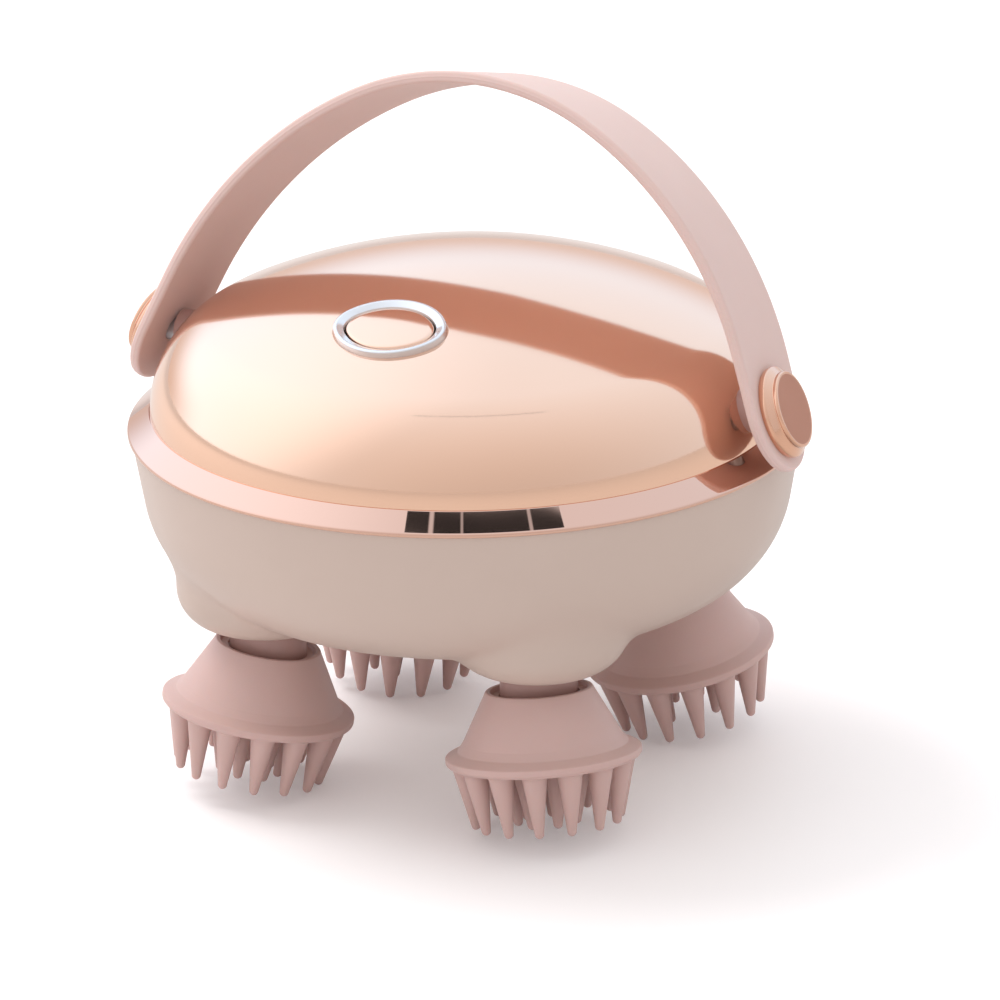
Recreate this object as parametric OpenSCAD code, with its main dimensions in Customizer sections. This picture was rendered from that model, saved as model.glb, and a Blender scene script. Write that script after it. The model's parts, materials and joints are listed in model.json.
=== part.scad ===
// Cordless scalp massager: a domed hand piece with a swinging handle,
// over four kneading heads that one motor turns through a sun gear.
// Millimetres. The origin is on the floor, under the middle of the body.
// X runs along the handle's pivots, and the front faces -Y.

/* [Body] */
// Radius of the trim band at its lower lip, the widest part of the body
body_r = 59; // [58:0.5:62]
// Distance inwards from that lip to the crease where the top shell rises out of the trim band
crease_inset = 3.8; // [3.4:0.1:4.5]
// Height of the trim band from the seam to the crease
band_h = 3.5; // [3:0.1:5]
// Height of the vertical lip at the trim band's lower edge
band_lip = 0.6; // [0.3:0.1:1]
// Bulge of the trim band's sloping face
band_bulge = 0.45; // [0.2:0.05:0.8]
// Height of the top shell above the crease
dome_h = 26.2; // [25.8:0.1:28]
// Radius of the top shell's shoulder
shoulder_r = 18; // [16:0.5:19]
// Wall of the top shell
shell_t = 2; // [1.6:0.1:2.4]
// Depth that the top shell's rim stands in the trim band
rim_depth = 1.2; // [0.8:0.1:1.6]
// Step from the trim band's lip back to the lower housing
seam_step = 0.6; // [0.3:0.1:1]
// Depth of the lower housing from the seam to its floor
bowl_h = 28.7; // [28:0.1:32]
// Radius of the lower housing's rounded foot
bowl_corner_r = 20; // [18:0.5:21]
// Distance inwards from the trim band's lip to the middle of that rounded foot
bowl_corner_inset = 22.4; // [21.8:0.1:23]
// Wall of the lower housing
bowl_t = 2.3; // [2:0.1:2.6]
// Depth of the trim band's tongue in the lower housing
tongue_h = 4.2; // [3.8:0.1:4.6]
// Wall of that tongue
tongue_t = 1.8; // [1.5:0.1:2]

/* [Head bosses] */
// Radius of the boss over each head
boss_r = 15.7; // [15:0.1:16.2]
// Radius of the flat ring at the boss's lower end
boss_face_r = 8.9; // [8.5:0.1:9.5]
// Drop of the boss below the housing's floor
boss_drop = 3; // [2.5:0.1:4]
// Height of the boss above its lower end
boss_h = 18; // [17:0.5:19]
// Recess in the boss that hides the top of the neck
neck_recess = 3; // [2.6:0.1:3.4]
// Gap round the neck in that recess
neck_gap = 0.5; // [0.4:0.1:0.8]

/* [Kneading heads] */
// Outward lean of each head
head_tilt = 10.6; // [8:0.1:12]
// Radius of the vertical neck
neck_r = 6.7; // [6.2:0.1:7]
// Height of the neck that shows between the head and its boss
neck_h = 4.35; // [4:0.05:6]
// Radius of the cap's collar at its top
collar_r = 9.2; // [8.8:0.1:9.6]
// Radius of the cap's flange
flange_r = 16.9; // [16.2:0.1:17.2]
// Depth of the cap from its collar to its underside
cap_h = 12.5; // [12:0.1:13]
// Wall of the soft cap over its core
cap_t = 1.3; // [1:0.1:1.6]
// Length of the prongs below the cap
prong_h = 11.2; // [10:0.1:13]
// Radius of a prong at its root
prong_root_r = 2.3; // [2:0.1:2.5]
// Radius of a prong's round tip
prong_tip_r = 0.8; // [0.6:0.1:1]
// Radius of the ring of outer prongs at their tips
outer_ring_r = 12.5; // [12:0.1:13]
// Radius of the ring of inner prongs at their tips
inner_ring_r = 5.2; // [5:0.1:6]
// Inward lean of the prongs between root and tip
prong_draw = 1.2; // [0.6:0.1:1.4]
// Prongs in the inner ring; the outer ring has twice as many
inner_prongs = 7; // [5:1:7]

/* [Gear train] */
// Distance inwards from the trim band's lip to the shafts of the heads
head_inset = 22; // [21.6:0.1:22]
// Teeth of the sun gear
sun_teeth = 52; // [52]
// Teeth of the gear on each head's shaft
output_teeth = 22; // [22]
// Teeth of the idler's small gear
idler_teeth = 12; // [12]
// Tooth module of the motor's pinion and the wheel on it, as a share of the sun gear's
motor_module_share = 0.8; // [0.78:0.01:0.82]
// Teeth of the idler's large gear
wheel_teeth = 36; // [36]
// Teeth of the motor's pinion
pinion_teeth = 12; // [12]
// Thickness of the sun gear and the gears on it
gear_t = 5; // [4:0.1:5.4]
// Thickness of the idler's large gear
wheel_t = 4; // [3:0.1:4.4]
// Share of a tooth's width left free for running
backlash = 0.1; // [0.08:0.01:0.14]
// Radius of each head's shaft
shaft_r = 3; // [2.8:0.05:3.2]
// Radius of the sun gear's axle
axle_r = 3; // [2.5:0.1:3.5]
// Radius of the idler's pin
idler_pin_r = 1.5; // [1.3:0.1:1.8]
// Radial running clearance of shafts and pins
running_gap = 0.05; // [0.03:0.01:0.08]
// Height of the lower plate above the housing's floor
lower_plate_up = 8; // [7.5:0.1:8.5]
// Thickness of both gearbox plates
plate_t = 2; // [1.6:0.1:2.2]
// Distance inwards from the trim band's lip to the edge of the lower plate
lower_plate_inset = 11.6; // [11.4:0.1:11.9]
// Distance inwards from the trim band's lip to the edge of the upper plate
upper_plate_inset = 8; // [7:0.5:11]
// Free height between the gearbox plates
plate_gap = 13; // [12.6:0.1:13.4]
// Distance inwards from the trim band's lip to the pillars between the plates
pillar_inset = 14.8; // [14.6:0.1:15]
// Radius of the pillars
pillar_r = 2.8; // [2.4:0.1:2.9]
// Angle from the X axis to each pillar
pillar_angle = 22; // [21.5:0.5:24]
// Outer radius of the shaft bushes
bush_r = 5.5; // [5:0.1:5.8]
// Radius of the bush's flange
bush_flange_r = 7.5; // [7:0.1:8]
// Thickness of the bush's flange
bush_flange_t = 1.2; // [1:0.1:1.6]
// Height of the seal under each bush
seal_t = 1.2; // [1:0.1:1.5]

/* [Motor and battery] */
// Radius of the motor
motor_r = 12; // [11:0.1:12]
// Length of the motor
motor_len = 25.5; // [22:0.5:25.5]
// Radius of the motor's shaft
motor_shaft_r = 1; // [0.8:0.05:1.2]
// Height of the bracket round the motor
bracket_h = 8; // [6:0.5:10]
// Wall of the bracket round the motor
bracket_t = 1.6; // [1.2:0.1:1.8]
// Length of the battery cell, away from the sun gear's axle
cell_len = 20; // [18:0.5:21]
// Height of the battery cell
cell_h = 14; // [12:0.5:15]
// Gap between the battery tray and the sun gear's axle
cell_gap = 0.8; // [0.6:0.1:2]
// Gap between the battery tray and the flanges of the bushes beside it
tray_gap = 1.46; // [0.6:0.1:2]
// Wall of the battery tray
tray_t = 1.2; // [1:0.1:1.4]
// Height of the battery tray's rim
tray_h = 8; // [6:0.5:10]
// Length, width and thickness of the circuit board
board_size = [30, 20, 1.6]; // [1:0.2:32]
// Distance inwards from the trim band's lip to the board's middle
board_inset = 23; // [22:0.5:24]
// Height of the board's standoffs
standoff_h = 2.5; // [2:0.1:4]

/* [Power button] */
// Distance of the button's middle in front of the body's middle
button_at = 28.4; // [27:0.1:29.5]
// Half the width of the ring round the button
ring_a = 10.1; // [9.5:0.1:10.5]
// Half the depth of the ring round the button
ring_b = 8.2; // [7.8:0.1:8.6]
// Width of the ring
ring_w = 1.9; // [1.6:0.1:2.2]
// Height of the ring above the top shell
ring_up = 0.7; // [0.5:0.1:1]
// Thickness of the ring
ring_t = 4; // [3.6:0.1:4.6]
// Gap between the button and its ring
button_gap = 0.3; // [0.25:0.05:0.4]
// Travel of the button
button_travel = 0.8; // [0.6:0.1:1]
// Thickness of the button
button_t = 2.6; // [2.2:0.1:3]
// Depth of the frame under the ring
frame_h = 9; // [8.5:0.1:9.5]
// Wall of that frame
frame_t = 1.4; // [1.2:0.1:1.6]

/* [Handle] */
// Distance inwards from the trim band's lip to the middle of the strap's ends, at the pivots
pivot_inset = 0.4; // [-1:0.1:0.6]
// Height of the pivots above the seam
pivot_up = 9.7; // [9.5:0.1:11]
// Backward lean of the handle as it stands
handle_lean = 16; // [10:1:20]
// Outward splay of the strap's ends
strap_splay = 22; // [20:0.5:24]
// Straight length of the strap above each pivot
strap_straight = 10; // [8:0.5:12]
// Radius of the strap along its sides
strap_side_r = 70; // [68:1:72]
// Radius of the strap over its top
strap_top_r = 48; // [46:1:50]
// Thickness of the strap
strap_t = 2; // [1.6:0.1:2.2]
// Width of the strap at the pivots
strap_end_w = 20; // [18:0.5:20]
// Width of the strap at its top
strap_mid_w = 24; // [20:0.5:26]
// Radius of the pivot pins
pin_r = 2.2; // [1.8:0.1:2.4]
// Radius of the caps that cover the pivots
pivot_cap_r = 8; // [7.6:0.1:8.4]
// Radius of the flat face on each pivot cap
pivot_face_r = 6.7; // [6.4:0.1:7]
// Thickness of the pivot caps
pivot_cap_t = 3; // [2.8:0.1:3.6]
// Radius of the spacers between the top shell and the strap
spacer_r = 3.6; // [3.2:0.1:4.2]

/* [Charging socket] */
// Radius of the charging socket's bore
socket_bore_r = 1.8; // [1.7:0.05:2]
// Depth of that bore
socket_bore_h = 9; // [7:0.5:10]
// Radius of the socket's nose in the housing wall
socket_nose_r = 4; // [3.5:0.1:4.5]
// Height of the socket above the housing's floor
socket_up = 16; // [15.8:0.1:17]
// Distance inwards from the trim band's lip to the socket's mouth
socket_inset = 4.4; // [4.2:0.1:4.6]
// Depth of the socket's nose, in front of its flange
socket_nose_h = 3.8; // [3.4:0.1:4]

/* [Hidden] */

$fn = 96;

// Angles of the four heads round the body
front_left = 225;
front_right = 315;
back_left = 135;
back_right = 45;
head_angles = [front_left, front_right, back_left, back_right];

// Heights, from the prong tips on the floor upwards
prong_end_h = cap_h + prong_h - prong_tip_r;
pivot_z = prong_end_h * cos(head_tilt) + outer_ring_r * sin(head_tilt) + prong_tip_r;
boss_face_z = pivot_z + neck_h;
floor_z = boss_face_z + boss_drop;
boss_floor_z = boss_face_z + boss_drop + neck_recess;
seam_z = floor_z + bowl_h;
crease_z = seam_z + band_h;
lower_plate_z = floor_z + lower_plate_up;
gear_gap = 2;
gear_z = lower_plate_z + plate_t + gear_gap;
wheel_gap = 1;
wheel_z = gear_z + gear_t + wheel_gap;
upper_plate_z = lower_plate_z + plate_t + plate_gap;
deck_z = upper_plate_z + plate_t;

// Places of the shafts; the teeth are as large as the pitch circles between them ask
head_at = body_r - head_inset;
sun_module = 2 * head_at / (sun_teeth + output_teeth);
motor_module = motor_module_share * sun_module;
idler_at = sun_module * (sun_teeth + idler_teeth) / 2;
motor_at = idler_at - motor_module * (wheel_teeth + pinion_teeth) / 2;

// Top shell: a wide cap that runs tangent into the shoulder
crease_r = body_r - crease_inset;
dome_r = crease_r - 0.2;
crown_r = (pow(dome_r - shoulder_r, 2) + pow(dome_h, 2) - pow(shoulder_r, 2)) / (2 * (dome_h - shoulder_r));
crown_z = crease_z + dome_h - crown_r;
crown_angle = asin((dome_r - shoulder_r) / (crown_r - shoulder_r));

// Lower housing: a line from the seam, tangent to the rounded foot
bowl_corner_at = body_r - bowl_corner_inset;
bowl_top_r = body_r - seam_step;
corner_z = floor_z + bowl_corner_r;
rise = [bowl_top_r - bowl_corner_at, seam_z - corner_z];
tangent_angle = atan2(rise.y, rise.x) - acos(bowl_corner_r / norm(rise));
seat_r = bowl_top_r - bowl_t;
tongue_r = seat_r - 0.1;
gasket_t = 0.9;
gasket_h = 1.3;
gasket_up = 1.2;

// Heads
core_drop = 1.2;
core_top_r = collar_r - cap_t;
core_low_r = flange_r - 3;
core_h = cap_h - cap_t - core_drop;
neck_top = neck_h + neck_recess * 0.6;
neck_root = 4.5;
shaft_sink = 8;
neck_sink = 0.5;

// Plates
lower_plate_r = body_r - lower_plate_inset;
upper_plate_r = body_r - upper_plate_inset;
pillar_at = body_r - pillar_inset;
bolt_r = 1.25;
bolt_free_r = bolt_r + 0.15;
bolt_head_r = 2.3;
bolt_head_h = 1.6;
bolt_sink = 3;
pillar_angles = [pillar_angle, 180 - pillar_angle, 180 + pillar_angle, 360 - pillar_angle];
free_hole = 0.6;

// Battery and board
cell_half_w = head_at * cos(45) - bush_flange_r - tray_t - tray_gap;
cell_size = [cell_len, 2 * cell_half_w, cell_h];
cell_at = axle_r + cell_gap + tray_t + cell_len / 2;
board_at = body_r - board_inset;
standoff_r = 1.5;
standoff_edge = 2.6;

// Motor bracket
ear_r = 3.2;
ear_at = motor_r + bracket_t + ear_r - 0.6;
ear_t = 2;
motor_collar_h = 1.4;

// Button: distances are measured along the top shell's normal there
button_lean = asin(button_at / crown_r);
board_t = 1.2;
switch_h = 3.2;
switch_w = 6;
stem_r = 1.8;
stem_h = frame_h - button_t - switch_h - button_travel - 0.2 + 0.6;

// Handle
pivot_x = body_r - pivot_inset;
pivot_z_up = seam_z + pivot_up;
side_middle = [
    pivot_x - strap_straight * sin(strap_splay) - strap_side_r * cos(strap_splay),
    strap_straight * cos(strap_splay) - strap_side_r * sin(strap_splay)
];
strap_turn = acos(-side_middle.x / (strap_side_r - strap_top_r));
top_middle = side_middle + (strap_side_r - strap_top_r) * [cos(strap_turn), sin(strap_turn)];
strap_end_r = strap_end_w / 2;
spacer_gap = 0.3;
strap_inner_x = pivot_x - strap_t / 2 / cos(strap_splay);
spacer_x = strap_inner_x - spacer_r * tan(strap_splay) - spacer_gap;
anchor_h = 10;
anchor_r = 5;
pin_anchor_x = dome_r - anchor_h;
pin_foot_x = pin_anchor_x + 1.5;
pin_end_x = pivot_x + strap_t / cos(strap_splay) + 0.6;

// Charging socket
socket_mouth = body_r - socket_inset;
socket_flange_r = socket_nose_r + 1.5;
socket_tail = 2;
socket_draft = 0.1;

// Longer than any cut
big = 200;

// ---- shared shapes ----

// Children at one head's place, on the floor, with +X outwards
module at_head(angle) {
    rotate([0, 0, angle]) translate([head_at, 0, 0]) children();
}

// Children in a head's own leaning frame, from the top of its collar
module in_head(angle) {
    at_head(angle) translate([0, 0, pivot_z]) rotate([0, -head_tilt, 0]) children();
}

// A quarter of an oval whose two radii run into each other: a wide, b high
module oval_quarter(a, b, end_r) {
    wide_r = (pow(a - end_r, 2) + pow(b, 2) - pow(end_r, 2)) / (2 * (b - end_r));
    turn = asin((a - end_r) / (wide_r - end_r));
    intersection() {
        union() {
            intersection() {
                translate([0, b - wide_r]) circle(r = wide_r);
                translate([0, b - wide_r]) polygon([[0, 0], [0, big], [big * tan(turn), big]]);
            }
            translate([a - end_r, 0]) circle(r = end_r);
        }
        square([a + 1, b + 1]);
    }
}

// A full oval, 2a wide and 2b deep
module oval(a, b) {
    for (flip_x = [0, 1]) for (flip_y = [0, 1])
        mirror([flip_x, 0]) mirror([0, flip_y]) oval_quarter(a, b, b * 0.72);
}

// Solid under the top shell's outside, drawn in by inset, from below its rim up
module dome_solid(inset = 0, below = rim_depth) {
    rotate_extrude() {
        translate([0, crease_z]) oval_quarter(dome_r - inset, dome_h - inset, shoulder_r - inset);
        translate([0, crease_z - below]) square([dome_r - inset, below]);
    }
}

// Solid inside the lower housing's outside, drawn in by inset, up to the seam
module bowl_solid(inset = 0) {
    corner = [bowl_corner_at, corner_z];
    outward = [cos(tangent_angle), sin(tangent_angle)];
    along = [-outward.y, outward.x];
    foot = corner + (bowl_corner_r - inset) * outward;
    rotate_extrude() intersection() {
        union() {
            translate(corner) circle(r = bowl_corner_r - inset);
            polygon([
                [0, floor_z + inset], [corner.x, floor_z + inset], corner, foot,
                foot + norm(rise) * along, [0, seam_z + bowl_h]
            ]);
        }
        square([big, seam_z]);
    }
}

// Boss over a head, or its inside when drawn in by inset
module boss_solid(inset = 0, base_z = boss_face_z) {
    edge_r = boss_r - boss_face_r - inset;
    rotate_extrude() {
        translate([0, base_z]) square([boss_face_r, boss_face_z + boss_h - base_z]);
        translate([0, base_z + edge_r]) square([boss_r - inset, boss_face_z + boss_h - base_z - edge_r]);
        intersection() {
            translate([boss_face_r, base_z + edge_r]) circle(r = edge_r);
            square([big, big]);
        }
    }
}

// Spread of an involute at one pressure angle, in degrees
function spread(angle) = tan(angle) * 180 / PI - angle;

// Half of a tooth's angle at radius r
function half_tooth(teeth, pitch_r, r) =
    let (base_r = pitch_r * cos(20))
    90 / teeth * (1 - backlash) + spread(20) - spread(acos(min(1, base_r / r)));

// Outline of a spur gear with a tooth centred on +X
module gear_outline(teeth, pitch) {
    pitch_r = teeth * pitch / 2;
    root_r = pitch_r - 1.25 * pitch;
    tip_r = pitch_r + 0.9 * pitch;
    flank_r = max(root_r, pitch_r * cos(20));
    steps = 4;
    radii = concat([root_r], [for (i = [0:steps]) flank_r + (tip_r - flank_r) * i / steps]);
    last = len(radii) - 1;
    polygon([
        for (tooth = [0:teeth - 1]) for (side = [-1, 1]) for (i = [0:last])
            let (
                r = radii[side < 0 ? i : last - i],
                angle = 360 / teeth * tooth + side * half_tooth(teeth, pitch_r, max(r, flank_r))
            )
            r * [cos(angle), sin(angle)]
    ]);
}

module gear(teeth, pitch, thickness) {
    linear_extrude(thickness) gear_outline(teeth, pitch);
}

// A pan-head screw with a cross recess, its head's seat at z = 0
module screw(length) {
    translate([0, 0, -length]) cylinder(r = bolt_r, h = length + 0.1);
    difference() {
        cylinder(r = bolt_head_r, h = bolt_head_h);
        for (turn = [0, 90]) rotate([0, 0, turn]) translate([0, 0, bolt_head_h])
            cube([bolt_head_r * 1.3, 0.6, bolt_head_h], center = true);
    }
}

// ---- shells ----

module top_shell() {
    color([0.93, 0.76, 0.66]) difference() {
        union() {
            difference() {
                dome_solid();
                dome_solid(shell_t, rim_depth + 1);
            }
            intersection() {
                dome_solid(shell_t / 2);
                for (side = [-1, 1]) translate([side * pin_anchor_x, 0, pivot_z_up])
                    rotate([0, side * 90, 0]) cylinder(r = anchor_r, h = body_r - pin_anchor_x);
            }
        }
        in_button() translate([0, 0, -2 * ring_t]) linear_extrude(3 * ring_t) oval(ring_a, ring_b);
        for (side = [-1, 1]) translate([side * pin_foot_x, 0, pivot_z_up])
            rotate([0, side * 90, 0]) cylinder(r = pin_r, h = body_r - pin_anchor_x);
    }
}

module trim_band() {
    low = [body_r, seam_z + band_lip];
    high = [crease_r, crease_z];
    chord = norm(high - low);
    bulge_r = (pow(chord / 2, 2) + pow(band_bulge, 2)) / (2 * band_bulge);
    middle = (low + high) / 2;
    inward = [-(high - low).y, (high - low).x] / chord;
    centre = middle + (bulge_r - band_bulge) * inward;
    inner_r = tongue_r - tongue_t;
    color([0.92, 0.80, 0.74]) difference() {
        rotate_extrude() difference() {
            union() {
                intersection() {
                    translate(centre) circle(r = bulge_r);
                    translate([inner_r, seam_z + band_lip]) square([big, band_h - band_lip]);
                }
                polygon([
                    [inner_r, seam_z], [body_r, seam_z], low, high, [inner_r, crease_z]
                ]);
                translate([inner_r, seam_z - tongue_h]) square([tongue_t, tongue_h + 0.1]);
            }
            translate([0, crease_z - rim_depth]) square([dome_r, big]);
            translate([tongue_r - gasket_t, seam_z - tongue_h + gasket_up]) square([big, gasket_h]);
        }
    }
}

module seam_gasket() {
    color([0.35, 0.33, 0.33]) translate([0, 0, seam_z - tongue_h + gasket_up]) difference() {
        cylinder(r = seat_r, h = gasket_h);
        translate([0, 0, -1]) cylinder(r = tongue_r - gasket_t, h = gasket_h + 2);
    }
}

module lower_housing() {
    seat_h = tongue_h + 0.4;
    color([0.85, 0.79, 0.75]) difference() {
        union() {
            difference() {
                union() {
                    bowl_solid();
                    for (angle = head_angles) at_head(angle) boss_solid();
                }
                bowl_solid(bowl_t);
                for (angle = head_angles) at_head(angle) boss_solid(bowl_t, boss_floor_z);
                translate([0, 0, seam_z - seat_h]) cylinder(r = seat_r, h = seat_h + 1);
            }
            intersection() {
                bowl_solid(bowl_t / 2);
                for (angle = pillar_angles) rotate([0, 0, angle])
                    translate([pillar_at, 0, floor_z]) cylinder(r = pillar_r, h = lower_plate_up);
            }
        }
        for (angle = head_angles) at_head(angle) {
            translate([0, 0, boss_face_z - 1]) cylinder(r = neck_r + neck_gap, h = neck_recess + 1);
            translate([0, 0, boss_face_z]) cylinder(r = bush_r, h = boss_h);
        }
        for (angle = pillar_angles) rotate([0, 0, angle])
            translate([pillar_at, 0, lower_plate_z - bolt_sink]) cylinder(r = bolt_r, h = bolt_sink + 1);
        in_socket() translate([0, 0, -socket_bore_h]) cylinder(
            r1 = socket_nose_r + running_gap, r2 = socket_nose_r + running_gap + socket_draft,
            h = 2 * socket_bore_h
        );
    }
}

// ---- charging socket, at the back ----

// Children at the socket's mouth, with +Z out of it
module in_socket() {
    translate([0, socket_mouth, floor_z + socket_up]) rotate([-90, 0, 0]) children();
}

module charge_socket() {
    back_z = -socket_bore_h - socket_tail;
    color([0.16, 0.16, 0.17]) in_socket() difference() {
        union() {
            translate([0, 0, back_z]) cylinder(r = socket_nose_r, h = -back_z);
            translate([0, 0, back_z]) cylinder(r = socket_flange_r, h = -back_z - socket_nose_h);
        }
        translate([0, 0, -socket_bore_h]) cylinder(r = socket_bore_r, h = socket_bore_h + 1);
    }
}

// ---- power button ----

// Children on the top shell's outside at the button, with +Z out of it
module in_button() {
    translate([0, 0, crown_z]) rotate([button_lean, 0, 0]) translate([0, 0, crown_r]) children();
}

module power_ring() {
    color([0.90, 0.90, 0.91]) in_button() translate([0, 0, ring_up - ring_t]) difference() {
        linear_extrude(ring_t) oval(ring_a, ring_b);
        translate([0, 0, -1]) linear_extrude(ring_t + 2) oval(ring_a - ring_w, ring_b - ring_w);
    }
}

module power_button() {
    press_a = ring_a - ring_w - button_gap;
    press_b = ring_b - ring_w - button_gap;
    color([0.91, 0.66, 0.53]) in_button() {
        translate([0, 0, ring_up - 0.2 - button_t]) linear_extrude(button_t) oval(press_a, press_b);
        translate([0, 0, ring_up - 0.2 - button_t - stem_h]) cylinder(r = stem_r, h = stem_h + 0.5);
    }
}

module button_frame() {
    color([0.25, 0.25, 0.26]) intersection() {
        in_button() translate([0, 0, -frame_h]) difference() {
            linear_extrude(frame_h) oval(ring_a + frame_t, ring_b + frame_t);
            translate([0, 0, frame_h + ring_up - ring_t]) linear_extrude(frame_h) oval(ring_a, ring_b);
            translate([0, 0, -1]) linear_extrude(frame_h + 2) oval(ring_a - ring_w, ring_b - ring_w);
        }
        dome_solid(shell_t);
    }
}

module button_board() {
    color([0.12, 0.38, 0.25]) in_button() translate([0, 0, -frame_h - board_t])
        linear_extrude(board_t) oval(ring_a + frame_t, ring_b + frame_t);
}

module tact_switch() {
    color([0.20, 0.20, 0.21]) in_button() {
        translate([-switch_w / 2, -switch_w / 2, -frame_h]) cube([switch_w, switch_w, switch_h - 1]);
        translate([0, 0, -frame_h]) cylinder(r = stem_r, h = switch_h);
    }
}

// ---- handle ----

// Children at the pivots' height, leaning as the handle stands
module in_handle() {
    translate([0, 0, pivot_z_up]) rotate([-handle_lean, 0, 0]) children();
}

// Points round part of a circle, without the first one
function arc(middle, radius, from, to, steps) =
    [for (i = [1:steps]) let (a = from + (to - from) * i / steps) middle + radius * [cos(a), sin(a)]];

// The strap's line from its end to its top, seen from the front, moved out by offset
function half_line(offset) =
    let (
        outward = [cos(strap_splay), sin(strap_splay)],
        foot = [pivot_x, 0] + offset * outward + (strap_end_r + 1) * [outward.y, -outward.x],
        knee = side_middle + (strap_side_r + offset) * outward
    )
    concat(
        [foot, knee],
        arc(side_middle, strap_side_r + offset, strap_splay, strap_turn, 14),
        arc(top_middle, strap_top_r + offset, strap_turn, 90, 10)
    );

// The same line over both sides, from the right end to the left
function whole_line(offset) =
    let (half = half_line(offset))
    concat(half, [for (i = [len(half) - 2:-1:0]) [-half[i].x, half[i].y]]);

function backwards(points) = [for (i = [len(points) - 1:-1:0]) points[i]];

// Children in one pivot's frame: +Z square to the strap's outer face
module in_pivot(side) {
    in_handle() translate([side * pivot_x, 0, 0]) rotate([0, side * (90 - strap_splay), 0]) children();
}

// What is cut away to round one end of the strap
module end_cut(side) {
    in_pivot(side) linear_extrude(4 * strap_t, center = true) difference() {
        translate([side > 0 ? 0 : -strap_mid_w, -strap_mid_w]) square([strap_mid_w, 2 * strap_mid_w]);
        polygon(arc([0, 0], strap_end_r, 0, 360, 48));
    }
}

module handle_strap() {
    color([0.83, 0.73, 0.72]) difference() {
        in_handle() intersection() {
            rotate([90, 0, 0]) linear_extrude(strap_mid_w + 2, center = true)
                polygon(concat(whole_line(strap_t / 2), backwards(whole_line(-strap_t / 2))));
            translate([0, 0, -strap_mid_w]) linear_extrude(big) polygon([
                [-big, -strap_end_r], [-pivot_x, -strap_end_r], [0, -strap_mid_w / 2],
                [pivot_x, -strap_end_r], [big, -strap_end_r],
                [big, strap_end_r], [pivot_x, strap_end_r], [0, strap_mid_w / 2],
                [-pivot_x, strap_end_r], [-big, strap_end_r]
            ]);
        }
        for (side = [-1, 1]) end_cut(side);
        in_handle() rotate([0, 90, 0]) cylinder(r = pin_r + running_gap, h = big, center = true);
    }
}

module pivot_cap(side) {
    low = strap_t / 2;
    rim_h = pivot_cap_t * 0.35;
    color([0.85, 0.59, 0.44]) difference() {
        in_pivot(side) {
            translate([0, 0, low]) cylinder(r = pivot_cap_r, h = rim_h);
            translate([0, 0, low + rim_h])
                cylinder(r1 = pivot_cap_r, r2 = pivot_face_r, h = pivot_cap_t * 0.45);
            translate([0, 0, low]) cylinder(r = pivot_face_r, h = pivot_cap_t);
        }
        in_handle() rotate([0, side * 90, 0]) cylinder(r = pin_r + 0.3, h = pin_end_x + 0.4);
    }
}

module pivot_pins() {
    color([0.75, 0.75, 0.76]) for (side = [-1, 1])
        translate([side * pin_foot_x, 0, pivot_z_up]) rotate([0, side * 90, 0]) {
            reach = pin_end_x - pin_foot_x;
            cylinder(r = pin_r, h = reach - pin_r / 2);
            translate([0, 0, reach - pin_r / 2]) cylinder(r1 = pin_r, r2 = pin_r / 2, h = pin_r / 2);
        }
}

module pivot_spacers() {
    color([0.78, 0.62, 0.56]) difference() {
        for (side = [-1, 1]) translate([side * pin_anchor_x, 0, pivot_z_up])
            rotate([0, side * 90, 0]) cylinder(r = spacer_r, h = spacer_x - pin_anchor_x);
        dome_solid($fn = 288);
        translate([0, 0, pivot_z_up]) rotate([0, 90, 0]) cylinder(r = pin_r, h = big, center = true);
    }
}

// ---- gearbox ----

// A gearbox plate with its pillar holes and the holes for the head shafts
module plate(radius, z, shaft_hole_r) {
    translate([0, 0, z]) difference() {
        cylinder(r = radius, h = plate_t);
        for (angle = pillar_angles) rotate([0, 0, angle]) translate([pillar_at, 0, -1])
            cylinder(r = bolt_free_r, h = plate_t + 2);
        for (angle = head_angles) rotate([0, 0, angle]) translate([head_at, 0, -1])
            cylinder(r = shaft_hole_r, h = plate_t + 2);
        translate([0, 0, -1]) cylinder(r = axle_r, h = plate_t + 2);
        translate([idler_at, 0, -1]) cylinder(r = idler_pin_r, h = plate_t + 2);
    }
}

module lower_plate() {
    color([0.32, 0.33, 0.35]) plate(lower_plate_r, lower_plate_z, shaft_r + free_hole);
}

module upper_plate() {
    corner = [board_size.x / 2 - standoff_edge, board_size.y / 2 - standoff_edge];
    color([0.32, 0.33, 0.35]) {
        difference() {
            plate(upper_plate_r, upper_plate_z, bush_r);
            translate([motor_at, 0, upper_plate_z - 1])
                cylinder(r = motor_shaft_r + 3, h = plate_t + 2);
            for (side = [-1, 1]) translate([motor_at, side * ear_at, upper_plate_z - 1])
                cylinder(r = bolt_r, h = plate_t + 2);
        }
        for (x = [-1, 1]) for (y = [-1, 1])
            translate([x * corner.x, board_at + y * corner.y, deck_z])
                cylinder(r = standoff_r, h = standoff_h);
    }
}

module plate_pillars() {
    color([0.70, 0.70, 0.72]) for (angle = pillar_angles) rotate([0, 0, angle])
        translate([pillar_at, 0, lower_plate_z + plate_t]) difference() {
            cylinder(r = pillar_r, h = plate_gap);
            translate([0, 0, -1]) cylinder(r = bolt_free_r, h = plate_gap + 2);
        }
}

module plate_screws() {
    length = plate_gap + 2 * plate_t + bolt_sink;
    color([0.78, 0.78, 0.80]) for (angle = pillar_angles) rotate([0, 0, angle])
        translate([pillar_at, 0, deck_z]) screw(length);
}

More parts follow.
